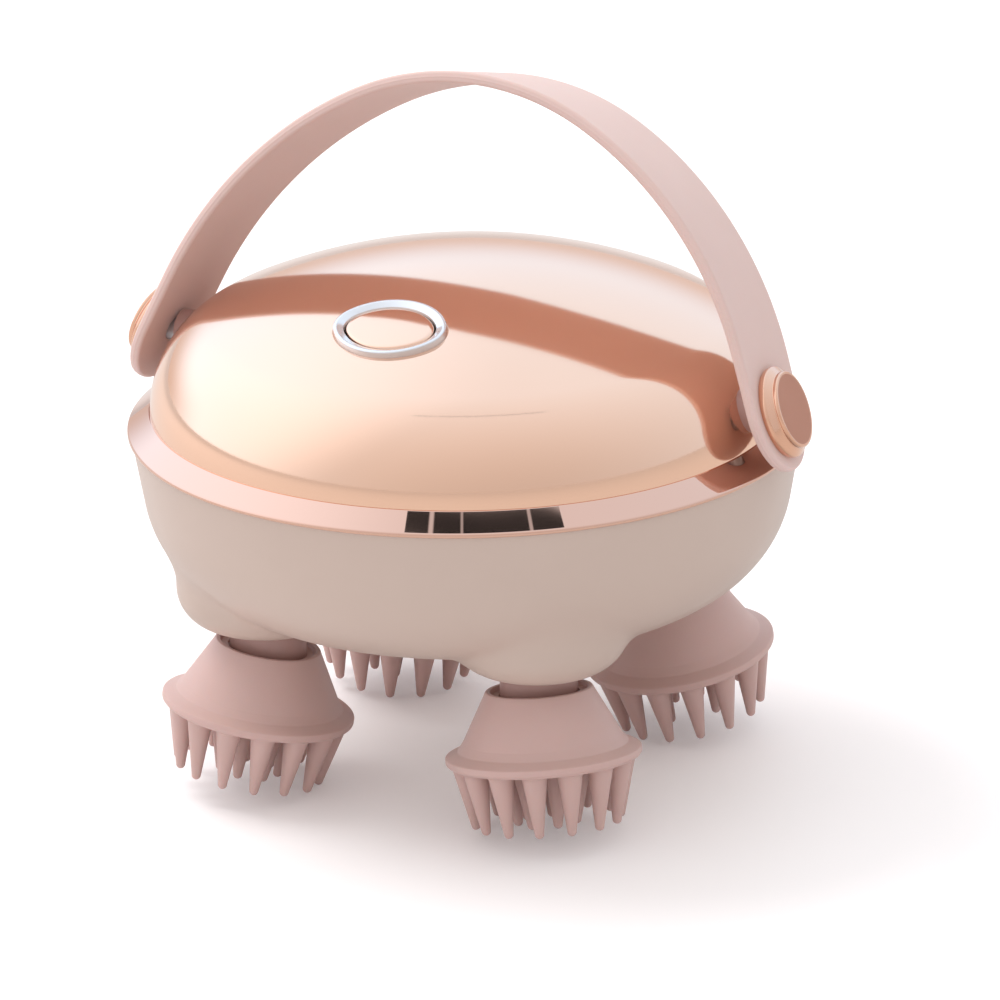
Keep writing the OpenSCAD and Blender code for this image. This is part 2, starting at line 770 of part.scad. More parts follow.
module sun_gear() {
    hub_r = axle_r + 3;
    color([0.94, 0.93, 0.90]) translate([0, 0, gear_z]) difference() {
        union() {
            gear(sun_teeth, sun_module, gear_t);
            translate([0, 0, 0.3 - gear_gap]) cylinder(r = hub_r, h = gear_t + gear_gap + wheel_gap);
        }
        for (turn = [0:5]) rotate([0, 0, turn * 60 + 30]) translate([(hub_r + head_at / 2) * 0.6, 0, -1])
            cylinder(r = 4, h = gear_t + 2);
        translate([0, 0, -gear_gap]) cylinder(r = axle_r + running_gap, h = gear_t + 2 * gear_gap);
    }
}

module sun_axle() {
    color([0.78, 0.78, 0.80]) translate([0, 0, lower_plate_z])
        cylinder(r = axle_r, h = plate_gap + 2 * plate_t);
}

module idler_gear() {
    color([0.90, 0.88, 0.82]) translate([idler_at, 0, 0]) difference() {
        union() {
            translate([0, 0, gear_z]) rotate([0, 0, 180 + 180 / idler_teeth])
                gear(idler_teeth, sun_module, gear_t + wheel_gap);
            translate([0, 0, wheel_z]) gear(wheel_teeth, motor_module, wheel_t);
            translate([0, 0, gear_z + 0.3 - gear_gap])
                cylinder(r = idler_pin_r + 1.6, h = gear_gap);
        }
        translate([0, 0, lower_plate_z]) cylinder(r = idler_pin_r + running_gap, h = plate_gap + plate_t);
    }
}

module idler_pin() {
    color([0.78, 0.78, 0.80]) translate([idler_at, 0, lower_plate_z])
        cylinder(r = idler_pin_r, h = plate_gap + 2 * plate_t);
}

module motor_pinion() {
    color([0.80, 0.66, 0.36]) translate([motor_at, 0, wheel_z]) difference() {
        rotate([0, 0, 180 / pinion_teeth]) gear(pinion_teeth, motor_module, wheel_t);
        translate([0, 0, -1]) cylinder(r = motor_shaft_r, h = wheel_t + 2);
    }
}

module motor_shaft() {
    color([0.78, 0.78, 0.80]) translate([motor_at, 0, wheel_z])
        cylinder(r = motor_shaft_r, h = deck_z - wheel_z + motor_len / 2);
}

module motor() {
    color([0.70, 0.71, 0.73]) translate([motor_at, 0, deck_z]) difference() {
        union() {
            cylinder(r = motor_r, h = motor_len - motor_collar_h);
            cylinder(r = motor_r * 0.4, h = motor_len);
        }
        translate([0, 0, -1]) cylinder(r = motor_shaft_r + running_gap, h = motor_len / 2 + 1.5);
    }
}

module motor_bracket() {
    color([0.30, 0.31, 0.33]) translate([motor_at, 0, deck_z]) difference() {
        union() {
            cylinder(r = motor_r + bracket_t, h = bracket_h);
            for (side = [-1, 1]) translate([0, side * ear_at, 0]) cylinder(r = ear_r, h = ear_t);
        }
        translate([0, 0, -1]) cylinder(r = motor_r, h = bracket_h + 2);
        for (side = [-1, 1]) translate([0, side * ear_at, -1]) cylinder(r = bolt_free_r, h = ear_t + 2);
    }
}

module motor_screws() {
    color([0.78, 0.78, 0.80]) for (side = [-1, 1])
        translate([motor_at, side * ear_at, deck_z + ear_t]) screw(ear_t + plate_t);
}

module output_gear(angle) {
    color([0.94, 0.93, 0.90]) at_head(angle) difference() {
        union() {
            translate([0, 0, gear_z]) rotate([0, 0, 180]) gear(output_teeth, sun_module, gear_t);
            translate([0, 0, gear_z]) cylinder(r = shaft_r + 2, h = gear_t + wheel_gap);
        }
        translate([0, 0, gear_z - 1]) cylinder(r = shaft_r, h = gear_t + wheel_gap + 2);
    }
}

module output_shaft(angle) {
    color([0.78, 0.78, 0.80]) at_head(angle) translate([0, 0, pivot_z - shaft_sink])
        cylinder(r = shaft_r, h = deck_z + 0.5 - pivot_z + shaft_sink);
}

module shaft_bushes() {
    color([0.74, 0.60, 0.36]) for (angle = head_angles) at_head(angle) difference() {
        low = boss_face_z + neck_recess + seal_t;
        union() {
            translate([0, 0, low]) cylinder(r = bush_r, h = boss_floor_z - low);
            translate([0, 0, boss_floor_z]) cylinder(r = bush_flange_r, h = bush_flange_t);
        }
        translate([0, 0, low - 1]) cylinder(r = shaft_r + running_gap, h = big);
    }
}

module shaft_seals() {
    color([0.20, 0.20, 0.20]) for (angle = head_angles) at_head(angle)
        translate([0, 0, boss_face_z + neck_recess]) difference() {
            cylinder(r = bush_r, h = seal_t);
            translate([0, 0, -1]) cylinder(r = shaft_r + running_gap, h = seal_t + 2);
        }
}

module top_bushes() {
    color([0.74, 0.60, 0.36]) for (angle = head_angles) at_head(angle) translate([0, 0, upper_plate_z]) difference() {
        union() {
            cylinder(r = bush_r, h = plate_t);
            translate([0, 0, plate_t]) cylinder(r = bush_flange_r, h = bush_flange_t);
        }
        translate([0, 0, -1]) cylinder(r = shaft_r + running_gap, h = plate_t + bush_flange_t + 2);
    }
}

// ---- heads ----

// The rigid core that the soft cap is stretched over
module cap_core() {
    translate([0, 0, -core_drop - core_h]) cylinder(r1 = core_low_r, r2 = core_top_r, h = core_h);
}

module head_hub(angle) {
    color([0.74, 0.60, 0.57]) difference() {
        union() {
            in_head(angle) cap_core();
            at_head(angle) translate([0, 0, pivot_z - neck_root])
                cylinder(r = neck_r, h = neck_root + neck_top);
        }
        at_head(angle) translate([0, 0, pivot_z - shaft_sink]) cylinder(r = shaft_r, h = big);
    }
}

// One prong, leaning in from its root to its tip
module prong(ring_r) {
    drop = prong_end_h - cap_h + neck_sink;
    lean = atan(prong_draw / drop);
    length = norm([drop, prong_draw]);
    translate([ring_r + prong_draw, 0, neck_sink - cap_h]) rotate([0, 180 + lean, 0]) {
        cylinder(r1 = prong_root_r, r2 = prong_tip_r, h = length, $fn = 32);
        translate([0, 0, length]) sphere(r = prong_tip_r, $fn = 32);
    }
}

module head_cap(angle) {
    lip_h = 1.8;
    edge = 0.5;
    color([0.77, 0.63, 0.60]) difference() {
        in_head(angle) {
            rotate_extrude() polygon([
                [0, 0], [collar_r, 0], [collar_r + edge, -edge * 2],
                [flange_r - 1.6, -cap_h + lip_h + 1.4], [flange_r, -cap_h + lip_h],
                [flange_r, -cap_h + edge], [flange_r - edge, -cap_h], [0, -cap_h]
            ]);
            for (i = [0:inner_prongs - 1]) rotate([0, 0, 180 + 360 / inner_prongs * (i + 0.5)])
                prong(inner_ring_r);
            for (i = [0:2 * inner_prongs - 1]) rotate([0, 0, 180 + 180 / inner_prongs * i])
                prong(outer_ring_r);
        }
        in_head(angle) cap_core();
        at_head(angle) translate([0, 0, pivot_z - neck_root]) cylinder(r = neck_r, h = neck_root + neck_h);
    }
}

// ---- battery and electronics ----

module battery_cell() {
    color([0.24, 0.42, 0.66]) translate([-cell_at - cell_size.x / 2, -cell_size.y / 2, deck_z + tray_t])
        cube(cell_size);
}

module battery_tray() {
    outer = [cell_size.x + 2 * tray_t, cell_size.y + 2 * tray_t, tray_h];
    color([0.22, 0.22, 0.23]) difference() {
        translate([-cell_at - outer.x / 2, -outer.y / 2, deck_z]) cube(outer);
        translate([-cell_at - cell_size.x / 2, -cell_size.y / 2, deck_z + tray_t])
            cube([cell_size.x, cell_size.y, tray_h]);
    }
}

module main_board() {
    color([0.12, 0.38, 0.25]) translate([-board_size.x / 2, board_at - board_size.y / 2, deck_z + standoff_h])
        cube(board_size);
}

module board_parts() {
    grid = board_size.y / 20;
    color([0.10, 0.10, 0.11]) translate([0, board_at, deck_z + standoff_h + board_size.z]) {
        translate([-8, -4, 0] * grid) cube([7, 7, 1.4] * grid);
        translate([4, -3, 0] * grid) cube([5, 4, 1.2] * grid);
        translate([10, 4, 0] * grid) cylinder(r = 2.5 * grid, h = 7 * grid);
        translate([-4, 5, 0] * grid) cube([9, 3.5, 4] * grid);
    }
}

top_shell();
trim_band();
lower_housing();
seam_gasket();
power_button();
power_ring();
button_frame();
button_board();
tact_switch();
handle_strap();
pivot_cap(-1);  // pivot_cap_left
pivot_cap(1);  // pivot_cap_right
pivot_pins();
pivot_spacers();
lower_plate();
upper_plate();
plate_pillars();
plate_screws();
sun_gear();
sun_axle();
idler_gear();
idler_pin();
motor();
motor_shaft();
motor_pinion();
motor_bracket();
motor_screws();
output_gear(front_left);  // output_gear_front_left
output_gear(front_right);  // output_gear_front_right
output_gear(back_left);  // output_gear_back_left
output_gear(back_right);  // output_gear_back_right
output_shaft(front_left);  // output_shaft_front_left
output_shaft(front_right);  // output_shaft_front_right
output_shaft(back_left);  // output_shaft_back_left
output_shaft(back_right);  // output_shaft_back_right
head_hub(front_left);  // head_hub_front_left
head_hub(front_right);  // head_hub_front_right
head_hub(back_left);  // head_hub_back_left
head_hub(back_right);  // head_hub_back_right
head_cap(front_left);  // head_cap_front_left
head_cap(front_right);  // head_cap_front_right
head_cap(back_left);  // head_cap_back_left
head_cap(back_right);  // head_cap_back_right
shaft_bushes();
shaft_seals();
top_bushes();
battery_cell();
battery_tray();
main_board();
board_parts();
charge_socket();
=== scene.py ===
import json
import math

import bmesh
import bpy
import numpy as np
from mathutils import Matrix, Vector


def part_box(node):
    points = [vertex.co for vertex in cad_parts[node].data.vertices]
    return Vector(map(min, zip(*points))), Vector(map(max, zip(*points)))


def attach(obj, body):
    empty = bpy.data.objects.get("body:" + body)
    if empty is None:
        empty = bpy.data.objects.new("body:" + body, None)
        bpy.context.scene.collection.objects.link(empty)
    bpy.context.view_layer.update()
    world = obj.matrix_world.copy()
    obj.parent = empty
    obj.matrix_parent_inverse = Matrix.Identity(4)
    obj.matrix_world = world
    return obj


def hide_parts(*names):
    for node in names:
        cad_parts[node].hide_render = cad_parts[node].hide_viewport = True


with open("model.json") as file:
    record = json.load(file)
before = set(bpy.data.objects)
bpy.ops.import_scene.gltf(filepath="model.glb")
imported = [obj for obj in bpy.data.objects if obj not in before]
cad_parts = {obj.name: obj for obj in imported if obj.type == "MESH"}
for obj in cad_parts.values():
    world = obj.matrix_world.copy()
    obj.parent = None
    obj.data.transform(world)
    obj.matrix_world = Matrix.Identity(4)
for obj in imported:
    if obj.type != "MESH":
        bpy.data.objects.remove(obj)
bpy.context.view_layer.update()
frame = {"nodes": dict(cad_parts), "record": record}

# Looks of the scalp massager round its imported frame. Lengths are millimetres, as in part.scad, until
# new_object turns them into metres. Angles are degrees, unless a name says turn.
MM = 0.001

# ---- sizes that part.scad sets ----
BODY_R, CREASE_R, DOME_R = 59.0, 55.2, 55.0
BAND_H, BAND_LIP = 3.5, 0.6
DOME_H, SHOULDER_R, SHELL_T, RIM_DEPTH = 26.2, 18.0, 2.0, 1.2
BOWL_TOP_R, BOWL_T = 58.4, 2.3
BOWL_CORNER_R, BOWL_CORNER_AT = 20.0, 36.6
TONGUE_H, TONGUE_T = 4.2, 1.8
BOSS_R, BOSS_FACE_R, BOSS_DROP, NECK_RECESS = 15.7, 8.9, 3.0, 3.0
NECK_R, NECK_GAP, NECK_H = 6.7, 0.5, 4.35
HEAD_TILT, HEAD_AT = 10.6, 37.0
COLLAR_R, FLANGE_R, CAP_H, CAP_T = 9.2, 16.9, 12.5, 1.3
PRONG_H, PRONG_ROOT_R, PRONG_TIP_R, PRONG_DRAW = 11.2, 2.3, 0.8, 1.2
OUTER_RING_R, INNER_RING_R, INNER_PRONGS = 12.5, 5.2, 7
BUTTON_AT, RING_A, RING_B, RING_W, RING_UP, RING_T = 28.4, 10.1, 8.2, 1.9, 0.7, 4.0
BUTTON_GAP, BUTTON_T, STEM_R, STEM_H = 0.3, 2.6, 1.8, 2.8
PIVOT_X, PIVOT_UP, HANDLE_LEAN, STRAP_SPLAY = 58.6, 9.7, 16.0, 22.0
STRAP_STRAIGHT, STRAP_SIDE_R, STRAP_TOP_R, STRAP_T = 10.0, 70.0, 48.0, 2.0
STRAP_END_W, STRAP_MID_W, PIN_R = 20.0, 24.0, 2.2
PIVOT_CAP_R, PIVOT_FACE_R, PIVOT_CAP_T = 8.0, 6.7, 3.0
SOCKET_UP, SOCKET_HOLE_R = 16.0, 4.1
HEADS = {"front_left": 225, "front_right": 315, "back_left": 135, "back_right": 45}

# ---- sizes of the dressing ----
SHARP_ANGLE = 35
DOUBLE_DIST = 1e-6
DOME_EDGE = 0.3
BAND_SEAT_GAP, GROOVE_UP, GROOVE_H, GROOVE_DEPTH = 0.1, 1.2, 1.3, 0.9
BOSS_BLEND, BLEND_REACH, BLEND_HALVINGS, BOWL_RIM = 2.0, 12.0, 34, 0.35
SEAT_GAP, BUSH_R, POCKET_CHAMFER, POCKET_WALL_H, POCKET_H = 0.4, 5.5, 3.5, 9, 12
SOCKET_CUT_AT, SOCKET_CUT_HALF = 54.6, 8
STRAP_BORDER, STRAP_EDGE_R, STRAP_SEAM = 2.4, 0.62, 0.06
PIN_HOLE_GAP, PIN_CUT_HALF = 0.05, 70
COLLAR_LIP, COLLAR_DISH, HUB_GAP, CORE_TOP = 0.75, 0.85, 0.28, -1.2
PRONG_SINK = 0.5

# ---- heights, read from the frame ----
SEAM_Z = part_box("lower_housing")[1].z / MM
BOSS_FACE_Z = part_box("lower_housing")[0].z / MM
CREASE_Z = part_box("trim_band")[1].z / MM
FLOOR_Z = BOSS_FACE_Z + BOSS_DROP
CORNER_Z = FLOOR_Z + BOWL_CORNER_R
NECK_TOP_Z = BOSS_FACE_Z - NECK_H
PIVOT_Z = SEAM_Z + PIVOT_UP
SOCKET_Z = FLOOR_Z + SOCKET_UP


def cos(degrees):
    return math.cos(math.radians(degrees))


def sin(degrees):
    return math.sin(math.radians(degrees))


# ---- mesh helpers ----

def turned(degrees, axis):
    return Matrix.Rotation(math.radians(degrees), 4, axis)


def moved(x, y, z):
    return Matrix.Translation((x, y, z))


def around(columns):
    """The turns of a full circle's columns, in radians."""
    return np.arange(columns) * 2 * math.pi / columns


def ring(radius, height, turn):
    """Points round the Z axis, at one height."""
    return np.stack([radius * np.cos(turn), radius * np.sin(turn), np.full(len(turn), height)], 1)


def filleted(corners, steps=6):
    """Outline points of a polygon whose corners are (x, y, fillet radius)."""
    points = []
    for i, (x, y, radius) in enumerate(corners):
        here = np.array((x, y))
        if radius <= 0:
            points.append((x, y))
            continue
        before = np.array(corners[i - 1][:2]) - here
        after = np.array(corners[(i + 1) % len(corners)][:2]) - here
        before, after = before / np.linalg.norm(before), after / np.linalg.norm(after)
        half = math.acos(np.clip(before @ after, -1, 1)) / 2
        reach = radius / math.tan(half)
        middle = here + (before + after) / np.linalg.norm(before + after) * radius / math.sin(half)
        start, end = here + before * reach - middle, here + after * reach - middle
        a0 = math.atan2(start[1], start[0])
        turn = (math.atan2(end[1], end[0]) - a0 + math.pi) % (2 * math.pi) - math.pi
        for k in range(steps + 1):
            a = a0 + turn * k / steps
            points.append((middle[0] + radius * math.cos(a), middle[1] + radius * math.sin(a)))
    return points


def grid_faces(rows, columns, close_rows=False):
    """Quads of a grid whose columns run all the way round."""
    faces = []
    for i in range(rows if close_rows else rows - 1):
        a, b = i * columns, (i + 1) % rows * columns
        for j in range(columns):
            k = (j + 1) % columns
            faces.append((a + j, a + k, b + k, b + j))
    return faces


def revolved(profile, columns=128, closed=False):
    """Points and quads of a profile of (radius, height) turned about Z."""
    rows = [ring(r, z, around(columns)) for r, z in profile]
    return np.concatenate(rows), grid_faces(len(profile), columns, closed)


def rod(radius, half_length, columns):
    """A round cutter along Z."""
    profile = [(0, -half_length), (radius, -half_length), (radius, half_length), (0, half_length)]
    return revolved(profile, columns)


def clean(mesh):
    """Merges doubled points and turns the faces outwards."""
    work = bmesh.new()
    work.from_mesh(mesh)
    bmesh.ops.remove_doubles(work, verts=work.verts, dist=DOUBLE_DIST)
    bmesh.ops.dissolve_degenerate(work, edges=work.edges, dist=DOUBLE_DIST)
    bmesh.ops.recalc_face_normals(work, faces=work.faces)
    work.to_mesh(mesh)
    work.free()


def new_object(name, points, faces, place=Matrix.Identity(4)):
    """An object in metres, from points in millimetres."""
    mesh = bpy.data.meshes.new(name)
    mesh.from_pydata([(place @ Vector(p)) * MM for p in points], [], faces)
    piece = bpy.data.objects.new(name, mesh)
    bpy.context.scene.collection.objects.link(piece)
    clean(piece.data)
    return piece


def applied(piece):
    """Turns the piece's modifiers into its mesh."""
    graph = bpy.context.evaluated_depsgraph_get()
    mesh = bpy.data.meshes.new_from_object(piece.evaluated_get(graph))
    piece.modifiers.clear()
    piece.data = mesh


def combined(piece, other, operation):
    """Cuts other out of piece, or joins it on, and deletes other."""
    modifier = piece.modifiers.new("combine", "BOOLEAN")
    modifier.operation, modifier.object, modifier.solver = operation, other, "EXACT"
    applied(piece)
    bpy.data.objects.remove(other)


def finished(piece, body, slot, replaced):
    """Shades and dresses a piece and hangs it on its body, in place of a CAD node."""
    piece.data.shade_smooth()
    piece.data.set_sharp_from_angle(angle=math.radians(SHARP_ANGLE))
    piece.data.materials.clear()
    piece.data.materials.append(FINISHES[slot])
    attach(piece, body)
    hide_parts(replaced)
    return piece


# ---- finishes ----

def add_node(tree, kind, inputs=(), **settings):
    node = tree.nodes.new(kind)
    for key, value in settings.items():
        setattr(node, key, value)
    for key, value in dict(inputs).items():
        node.inputs[key].default_value = value
    return node


RELIEF_DEPTH = 0.0002


def finish(name, colour, shade, metallic, roughness, rough_spread, patch, grain, bump,
           stretch=(1, 1, 1), **sockets):
    """A moulded, plated or turned surface: soft patches of colour and gloss, and a bump of fine grain."""
    material = bpy.data.materials.new(name)
    material.use_nodes = True
    tree = material.node_tree
    surface = tree.nodes["Principled BSDF"]
    place = add_node(tree, "ShaderNodeTexCoord")
    scaled = add_node(tree, "ShaderNodeMapping")
    scaled.inputs["Scale"].default_value = stretch
    tree.links.new(place.outputs["Object"], scaled.inputs["Vector"])

    patches = add_node(tree, "ShaderNodeTexNoise", {"Scale": patch, "Detail": 3.0, "Roughness": 0.5})
    tree.links.new(scaled.outputs["Vector"], patches.inputs["Vector"])
    tint = add_node(tree, "ShaderNodeMix", data_type="RGBA")
    tint.inputs["A"].default_value = (*colour, 1)
    tint.inputs["B"].default_value = (*shade, 1)
    tree.links.new(patches.outputs["Fac"], tint.inputs["Factor"])
    tree.links.new(tint.outputs["Result"], surface.inputs["Base Color"])

    gloss = add_node(tree, "ShaderNodeMapRange")
    gloss.inputs["To Min"].default_value = max(0.0, roughness - rough_spread / 2)
    gloss.inputs["To Max"].default_value = roughness + rough_spread / 2
    tree.links.new(patches.outputs["Fac"], gloss.inputs["Value"])
    tree.links.new(gloss.outputs["Result"], surface.inputs["Roughness"])
    if bump:
        fine = add_node(tree, "ShaderNodeTexNoise", {"Scale": grain, "Detail": 4.0, "Roughness": 0.6})
        tree.links.new(scaled.outputs["Vector"], fine.inputs["Vector"])
        relief = add_node(tree, "ShaderNodeBump", {"Strength": bump, "Distance": RELIEF_DEPTH})
        tree.links.new(fine.outputs["Fac"], relief.inputs["Height"])
        tree.links.new(relief.outputs["Normal"], surface.inputs["Normal"])
    surface.inputs["Metallic"].default_value = metallic
    for key, value in sockets.items():
        surface.inputs[key.replace("_", " ")].default_value = value
    return material


# Each finish: colour, its shade, metallic, roughness and its spread, patch and grain scales, bump.
SURFACES = {
    "rose_mirror": ((0.96, 0.63, 0.465), (0.94, 0.61, 0.445), 1.0, 0.09, 0.02, 30, 1500, 0.003),
    # The band's mirror is a darker copy of the rose mirror: the darkening is painted shade.
    "band_mirror_painted_shade": ((0.79, 0.50, 0.39), (0.77, 0.48, 0.37), 1.0, 0.02, 0.01, 30, 1500, 0.0),
    "housing_plastic": ((0.575, 0.455, 0.39), (0.54, 0.42, 0.36), 0.0, 0.38, 0.08, 45, 2600, 0.06),
    "clear_ring": ((0.80, 0.80, 0.82), (0.72, 0.72, 0.74), 0.6, 0.18, 0.08, 120, 900, 0.02),
    "soft_strap": ((0.72, 0.525, 0.485), (0.68, 0.49, 0.45), 0.0, 0.55, 0.1, 60, 3200, 0.10),
    "head_silicone": ((0.62, 0.42, 0.385), (0.575, 0.385, 0.35), 0.0, 0.5, 0.1, 80, 2800, 0.08),
    "hub_plastic": ((0.46, 0.28, 0.25), (0.41, 0.245, 0.22), 0.0, 0.42, 0.1, 90, 2200, 0.05),
    "rose_plastic": ((0.86, 0.50, 0.34), (0.81, 0.45, 0.30), 1.0, 0.12, 0.05, 90, 1800, 0.01),
    "cap_face": ((0.46, 0.19, 0.115), (0.42, 0.17, 0.10), 0.0, 0.45, 0.08, 90, 2400, 0.05),
    "seal_rubber": ((0.030, 0.028, 0.028), (0.022, 0.020, 0.020), 0.0, 0.7, 0.1, 90, 2400, 0.1),
    "dark_plastic": ((0.035, 0.035, 0.038), (0.026, 0.026, 0.030), 0.0, 0.42, 0.1, 90, 2600, 0.1),
    "board_green": ((0.015, 0.10, 0.045), (0.012, 0.08, 0.036), 0.0, 0.35, 0.1, 250, 3000, 0.04),
    "steel": ((0.52, 0.52, 0.54), (0.42, 0.42, 0.44), 1.0, 0.28, 0.12, 150, 2400, 0.04),
    "gear_plastic": ((0.84, 0.82, 0.74), (0.80, 0.77, 0.69), 0.0, 0.38, 0.08, 120, 2200, 0.05),
    "brass": ((0.62, 0.42, 0.14), (0.54, 0.36, 0.12), 1.0, 0.25, 0.12, 150, 2400, 0.04),
    "battery_wrap": ((0.035, 0.11, 0.33), (0.03, 0.09, 0.28), 0.0, 0.3, 0.1, 60, 1800, 0.05),
}
# What some of them have besides: a clear coat, softness, sheen, or the long grain of turned steel.
EXTRAS = {
    "housing_plastic": {"Coat_Weight": 0.15, "Coat_Roughness": 0.3},
    "clear_ring": {"Coat_Weight": 1.0, "Coat_Roughness": 0.06},
    "soft_strap": {"Subsurface_Weight": 0.06, "Subsurface_Scale": 0.002, "Sheen_Weight": 0.12,
                   "Sheen_Roughness": 0.5},
    "head_silicone": {"Subsurface_Weight": 0.10, "Subsurface_Scale": 0.002, "Sheen_Weight": 0.1},
    "rose_plastic": {"Coat_Weight": 0.5, "Coat_Roughness": 0.04},
    "cap_face": {"Coat_Weight": 0.1, "Coat_Roughness": 0.3},
    "steel": {"stretch": (1, 1, 0.08)},
    "gear_plastic": {"Subsurface_Weight": 0.05, "Subsurface_Scale": 0.001},
}
FINISHES = {name: finish(name, *surface, **EXTRAS.get(name, {})) for name, surface in SURFACES.items()}

# ---- dome ----

CROWN_R = ((DOME_R - SHOULDER_R) ** 2 + DOME_H ** 2 - SHOULDER_R ** 2) / (2 * (DOME_H - SHOULDER_R))
CROWN_Z = CREASE_Z + DOME_H - CROWN_R
CROWN_ANGLE = math.degrees(math.asin((DOME_R - SHOULDER_R) / (CROWN_R - SHOULDER_R)))
BUTTON_LEAN = math.degrees(math.asin(BUTTON_AT / CROWN_R))
IN_BUTTON = moved(0, 0, CROWN_Z) @ turned(BUTTON_LEAN, "X") @ moved(0, 0, CROWN_R)


OVAL_END_SHARE = 0.72


def oval_reach(a, b, angles):
    """Distance from the middle to the oval's edge at each angle; the same oval as part.scad's."""
    end_r = b * OVAL_END_SHARE
    wide_r = ((a - end_r) ** 2 + b ** 2 - end_r ** 2) / (2 * (b - end_r))
    turn = math.asin((a - end_r) / (wide_r - end_r))
    join = math.atan2(b - wide_r + wide_r * math.cos(turn), wide_r * math.sin(turn))
    c, s = np.abs(np.cos(angles)), np.abs(np.sin(angles))
    to_wide = s * (b - wide_r)
    on_wide = to_wide + np.sqrt(to_wide ** 2 - (b - wide_r) ** 2 + wide_r ** 2)
    to_end = c * (a - end_r)
    on_end = to_end + np.sqrt(np.maximum(to_end ** 2 - (a - end_r) ** 2 + end_r ** 2, 0))
    return np.where(np.arctan2(s, c) > join, on_wide, on_end)


def dome_rows(crown_r, shoulder_r, dome_r, hole_grow, columns, steps):
    """Rows of points from the button's hole, over the crown and down the shoulder to the crease."""
    turn = around(columns)
    edge = ring(sin(CROWN_ANGLE), cos(CROWN_ANGLE), turn)
    lean = np.array(turned(BUTTON_LEAN, "X").to_3x3())
    seen = edge @ lean
    angles = np.arctan2(seen[:, 1], seen[:, 0])
    reach = oval_reach(RING_A + hole_grow, RING_B + hole_grow, angles) / crown_r
    hole = np.stack([reach * np.cos(angles), reach * np.sin(angles), np.sqrt(1 - reach ** 2)], 1) @ lean.T
    between = np.arccos(np.clip((hole * edge).sum(1), -1, 1))[:, None]
    rows = []
    for t in np.linspace(0, 1, steps + 1):
        unit = (np.sin((1 - t) * between) * hole + np.sin(t * between) * edge) / np.sin(between)
        rows.append(unit * crown_r + [0, 0, CROWN_Z])
    for angle in np.linspace(CROWN_ANGLE, 90, 41)[1:]:
        radius = dome_r - shoulder_r + shoulder_r * sin(angle)
        rows.append(ring(radius, CREASE_Z + shoulder_r * cos(angle), turn))
    low = rows[-1].copy()
    low[:, 2] = CREASE_Z - RIM_DEPTH
    return rows + [low]


def make_dome():
    columns, steps = 360, 44
    outside = dome_rows(CROWN_R, SHOULDER_R, DOME_R, DOME_EDGE, columns, steps)
    lip = dome_rows(CROWN_R - DOME_EDGE, SHOULDER_R, DOME_R, 0, columns, 1)[0]
    inside = dome_rows(CROWN_R - SHELL_T, SHOULDER_R - SHELL_T, DOME_R - SHELL_T, 0, columns, steps)[::-1]
    rows = [lip] + outside + inside
    return new_object("dome_shell", np.concatenate(rows), grid_faces(len(rows), columns, True))


# ---- trim band ----

def on_cone(share):
    """A point on the band's sloping face, there to keep its shading even."""
    rise = BAND_H - BAND_LIP
    return BODY_R + (CREASE_R - BODY_R) * share, SEAM_Z + BAND_LIP + rise * share, 0


def make_band():
    seat_r = BOWL_TOP_R - BOWL_T - BAND_SEAT_GAP
    inner_r, groove_r = seat_r - TONGUE_T, seat_r - GROOVE_DEPTH
    groove_z = SEAM_Z - TONGUE_H + GROOVE_UP
    groove_top = groove_z + GROOVE_H
    profile = filleted([
        (inner_r, SEAM_Z - TONGUE_H, 0.2), (seat_r, SEAM_Z - TONGUE_H, 0.2), (seat_r, groove_z, 0),
        (groove_r, groove_z, 0), (groove_r, groove_top, 0), (seat_r, groove_top, 0), (seat_r, SEAM_Z, 0.1),
        (BODY_R, SEAM_Z, 0.18), (BODY_R, SEAM_Z + BAND_LIP, 0.5), on_cone(0.08), on_cone(0.97),
        (CREASE_R, CREASE_Z, 0.06), (DOME_R, CREASE_Z, 0), (DOME_R, CREASE_Z - RIM_DEPTH, 0),
        (inner_r, CREASE_Z - RIM_DEPTH, 0.2),
    ])
    return new_object("mirror_band", *revolved(profile, 480, True))


# ---- lower housing ----

def bowl_line(inset=0.0):
    """Points and outward normals of the bowl's side, from its middle out and up to the seam."""
    rise = np.array((BOWL_TOP_R - BOWL_CORNER_AT, SEAM_Z - CORNER_Z))
    length = math.sqrt(rise @ rise - BOWL_CORNER_R ** 2)
    tangent = math.degrees(math.atan2(rise[1], rise[0]) - math.acos(BOWL_CORNER_R / np.linalg.norm(rise)))
    points = [(r, FLOOR_Z + inset, 0.0, -1.0) for r in np.linspace(0, BOWL_CORNER_AT, 46)]
    for a in np.linspace(-90, tangent, 66)[1:]:
        n = np.array((cos(a), sin(a)))
        p = np.array((BOWL_CORNER_AT, CORNER_Z)) + (BOWL_CORNER_R - inset) * n
        points.append((*p, *n))
    foot, normal = np.array(points[-1][:2]), np.array(points[-1][2:])
    for t in np.linspace(0, length - BOWL_RIM, 18)[1:]:
        points.append((*(foot + t * np.array((-normal[1], normal[0]))), *normal))
    return np.array(points)


def boss_distance(points):
    """Distance of points outside the nearest head boss."""
    edge = BOSS_R - BOSS_FACE_R
    nearest = np.full(len(points), 1e3)
    for angle in HEADS.values():
        away = np.hypot(points[:, 0] - HEAD_AT * cos(angle), points[:, 1] - HEAD_AT * sin(angle))
        out, down = away - BOSS_R + edge, BOSS_FACE_Z + edge - points[:, 2]
        beyond = np.hypot(np.maximum(out, 0), np.maximum(down, 0))
        distance = beyond + np.minimum(np.maximum(out, down), 0) - edge
        nearest = np.minimum(nearest, distance)
    return nearest


